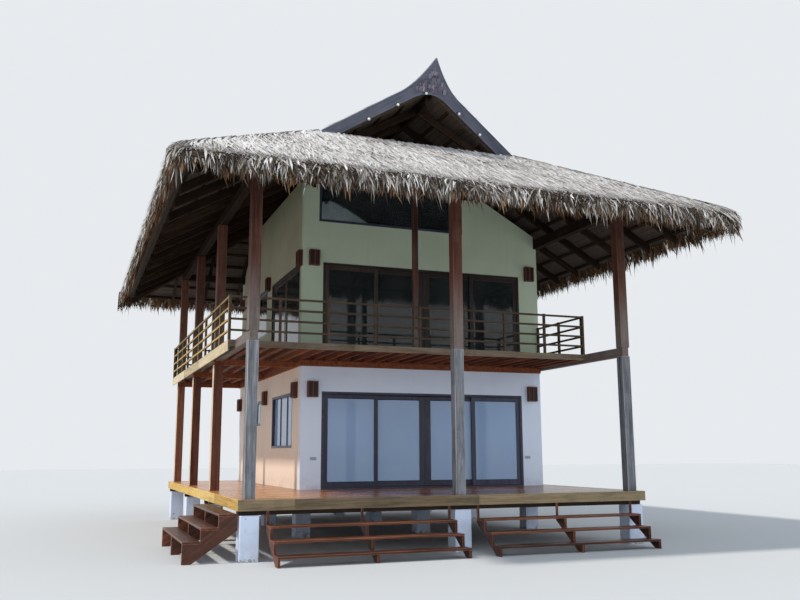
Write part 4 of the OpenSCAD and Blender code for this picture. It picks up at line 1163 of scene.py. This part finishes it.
def lay_bed():
    """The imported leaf, drawn in from the eaves by the depth that the loose leaves fill."""
    for node in ("left_thatch", "right_thatch", "end_thatch"):
        bm = merged_copy(node)
        for vert in bm.verts:
            near = [axis for axis in (0, 1) if ROOF.reach[axis] - abs(vert.co[axis]) < NOSE_REACH]
            for axis in near:
                vert.co[axis] -= math.copysign(BED_INSET, vert.co[axis])
            if near:
                vert.co.z += ROOF.slope * BED_INSET
        ease(bm, 0.015)
        keep(to_mesh(bm, node + "_bed"), "thatch", node=node)


def dress_thatch():
    lay_bed()
    grow_slopes()
    grow_caps()
    grow_fringe()


# Gable

def barge_foot(x):
    """Height of the bargeboards' lower edge over the foot of the gable."""
    line = (ROOF.gable_half_w - max(abs(x), BARGE_TURN)) * ROOF.slope - BARGE_DEPTH
    return line + ROOF.slope * max(BARGE_TURN ** 2 - x * x, 0) / (2 * BARGE_TURN)


def barge_head(x):
    """Height of the bargeboards' upper edge over the foot of the gable."""
    swept = PEAK_RISE * max(1 - abs(x) / PEAK_HALF_W, 0) ** 2
    return (ROOF.gable_half_w - abs(x)) * ROOF.slope + swept


def on_barge(x, height, out=0.0):
    """A place on the front of the leaning bargeboards, with Y up them and Z out of them."""
    lean = math.atan(ROOF.rake)
    turn = Matrix.Rotation(UPRIGHT + lean, 4, "X")
    foot = Matrix.Translation((x, -ROOF.gable_y, ROOF.gable_z))
    return foot @ turn @ Matrix.Translation((0, height / math.cos(lean), BARGE_THICKNESS + out))


def turned(profile, place):
    """A form turned round its axis from a profile of radius and height, set at a place."""
    bm = bmesh.new()
    verts = [bm.verts.new((radius, 0, height)) for radius, height in profile]
    edges = [bm.edges.new(pair) for pair in zip(verts, verts[1:])]
    bmesh.ops.spin(bm, geom=verts + edges, cent=(0, 0, 0), axis=Z, angle=math.tau, steps=TURN_STEPS,
                   use_merge=True)
    bmesh.ops.remove_doubles(bm, verts=bm.verts, dist=ONE_POINT)
    bmesh.ops.recalc_face_normals(bm, faces=bm.faces)
    bmesh.ops.transform(bm, matrix=place, verts=bm.verts)
    return bm


def add_bulbs():
    """White bulbs in dark holders along the lower edge of the front bargeboards."""
    bulbs = bmesh.new()
    holders = bmesh.new()
    for x in BULB_PLACES:
        place = on_barge(x, barge_foot(x) + BULB_DROP, -LET_IN)
        add_to(holders, turned(HOLDER_PROFILE, place))
        add_to(bulbs, turned(BULB_PROFILE, place))
    lay_grain(holders, 51)
    keep(to_mesh(holders, "bulb_holders"), "frame_wood", "shingle_wood", smooth_under=40)
    keep(to_mesh(bulbs, "gable_bulbs"), "bulb", "shingle_wood", smooth_under=60)


def add_shingles():
    """Rows of small shingles between the borders of each peak."""
    shingles = bmesh.new()
    draw = random.Random(52)
    row = 0
    height = barge_foot(0) + BARGE_BORDER
    while height < barge_head(0) - BARGE_BORDER:
        for step in range(-SHINGLES_ASIDE, SHINGLES_ASIDE + 1):
            x = (step + row % 2 / 2) * SHINGLE_WIDTH
            inside = barge_foot(x) + BARGE_BORDER <= height + SHINGLE_TUCK
            low_head = barge_head(abs(x) + SHINGLE_WIDTH / 2)
            if not inside or height + SHINGLE_LENGTH > low_head - BARGE_BORDER:
                continue
            reach = SHINGLE_WIDTH / 2 - draw.uniform(*SHINGLE_GAP)
            made = block(shingles, (-reach, 0, -SHINGLE_THICKNESS), (reach, SHINGLE_LENGTH, 0))
            lean = Matrix.Rotation(math.radians(draw.uniform(*SHINGLE_LEAN)), 4, "X")
            twist = Matrix.Rotation(math.radians(draw.uniform(-SHINGLE_TWIST, SHINGLE_TWIST)), 4, "Z")
            place = on_barge(x, height, -LET_IN) @ lean @ twist
            bmesh.ops.transform(shingles, matrix=place, verts=made)
        height += SHINGLE_ROW
        row += 1
    rear = verts_in(bmesh.ops.duplicate(shingles, geom=all_of(shingles))["geom"])
    bmesh.ops.rotate(shingles, verts=rear, cent=(0, 0, 0), matrix=Matrix.Rotation(math.pi, 3, "Z"))
    finish_off(shingles, "peak_shingles", "shingle_dark", 0.0015, 1, 53, slot="shingle_wood")


add_camera()
add_sun()
add_sky()
add_floor()
dress_deck()
dress_piers()
dress_walls()
dress_doors()
dress_frame()
dress_thatch()
add_shingles()
add_bulbs()
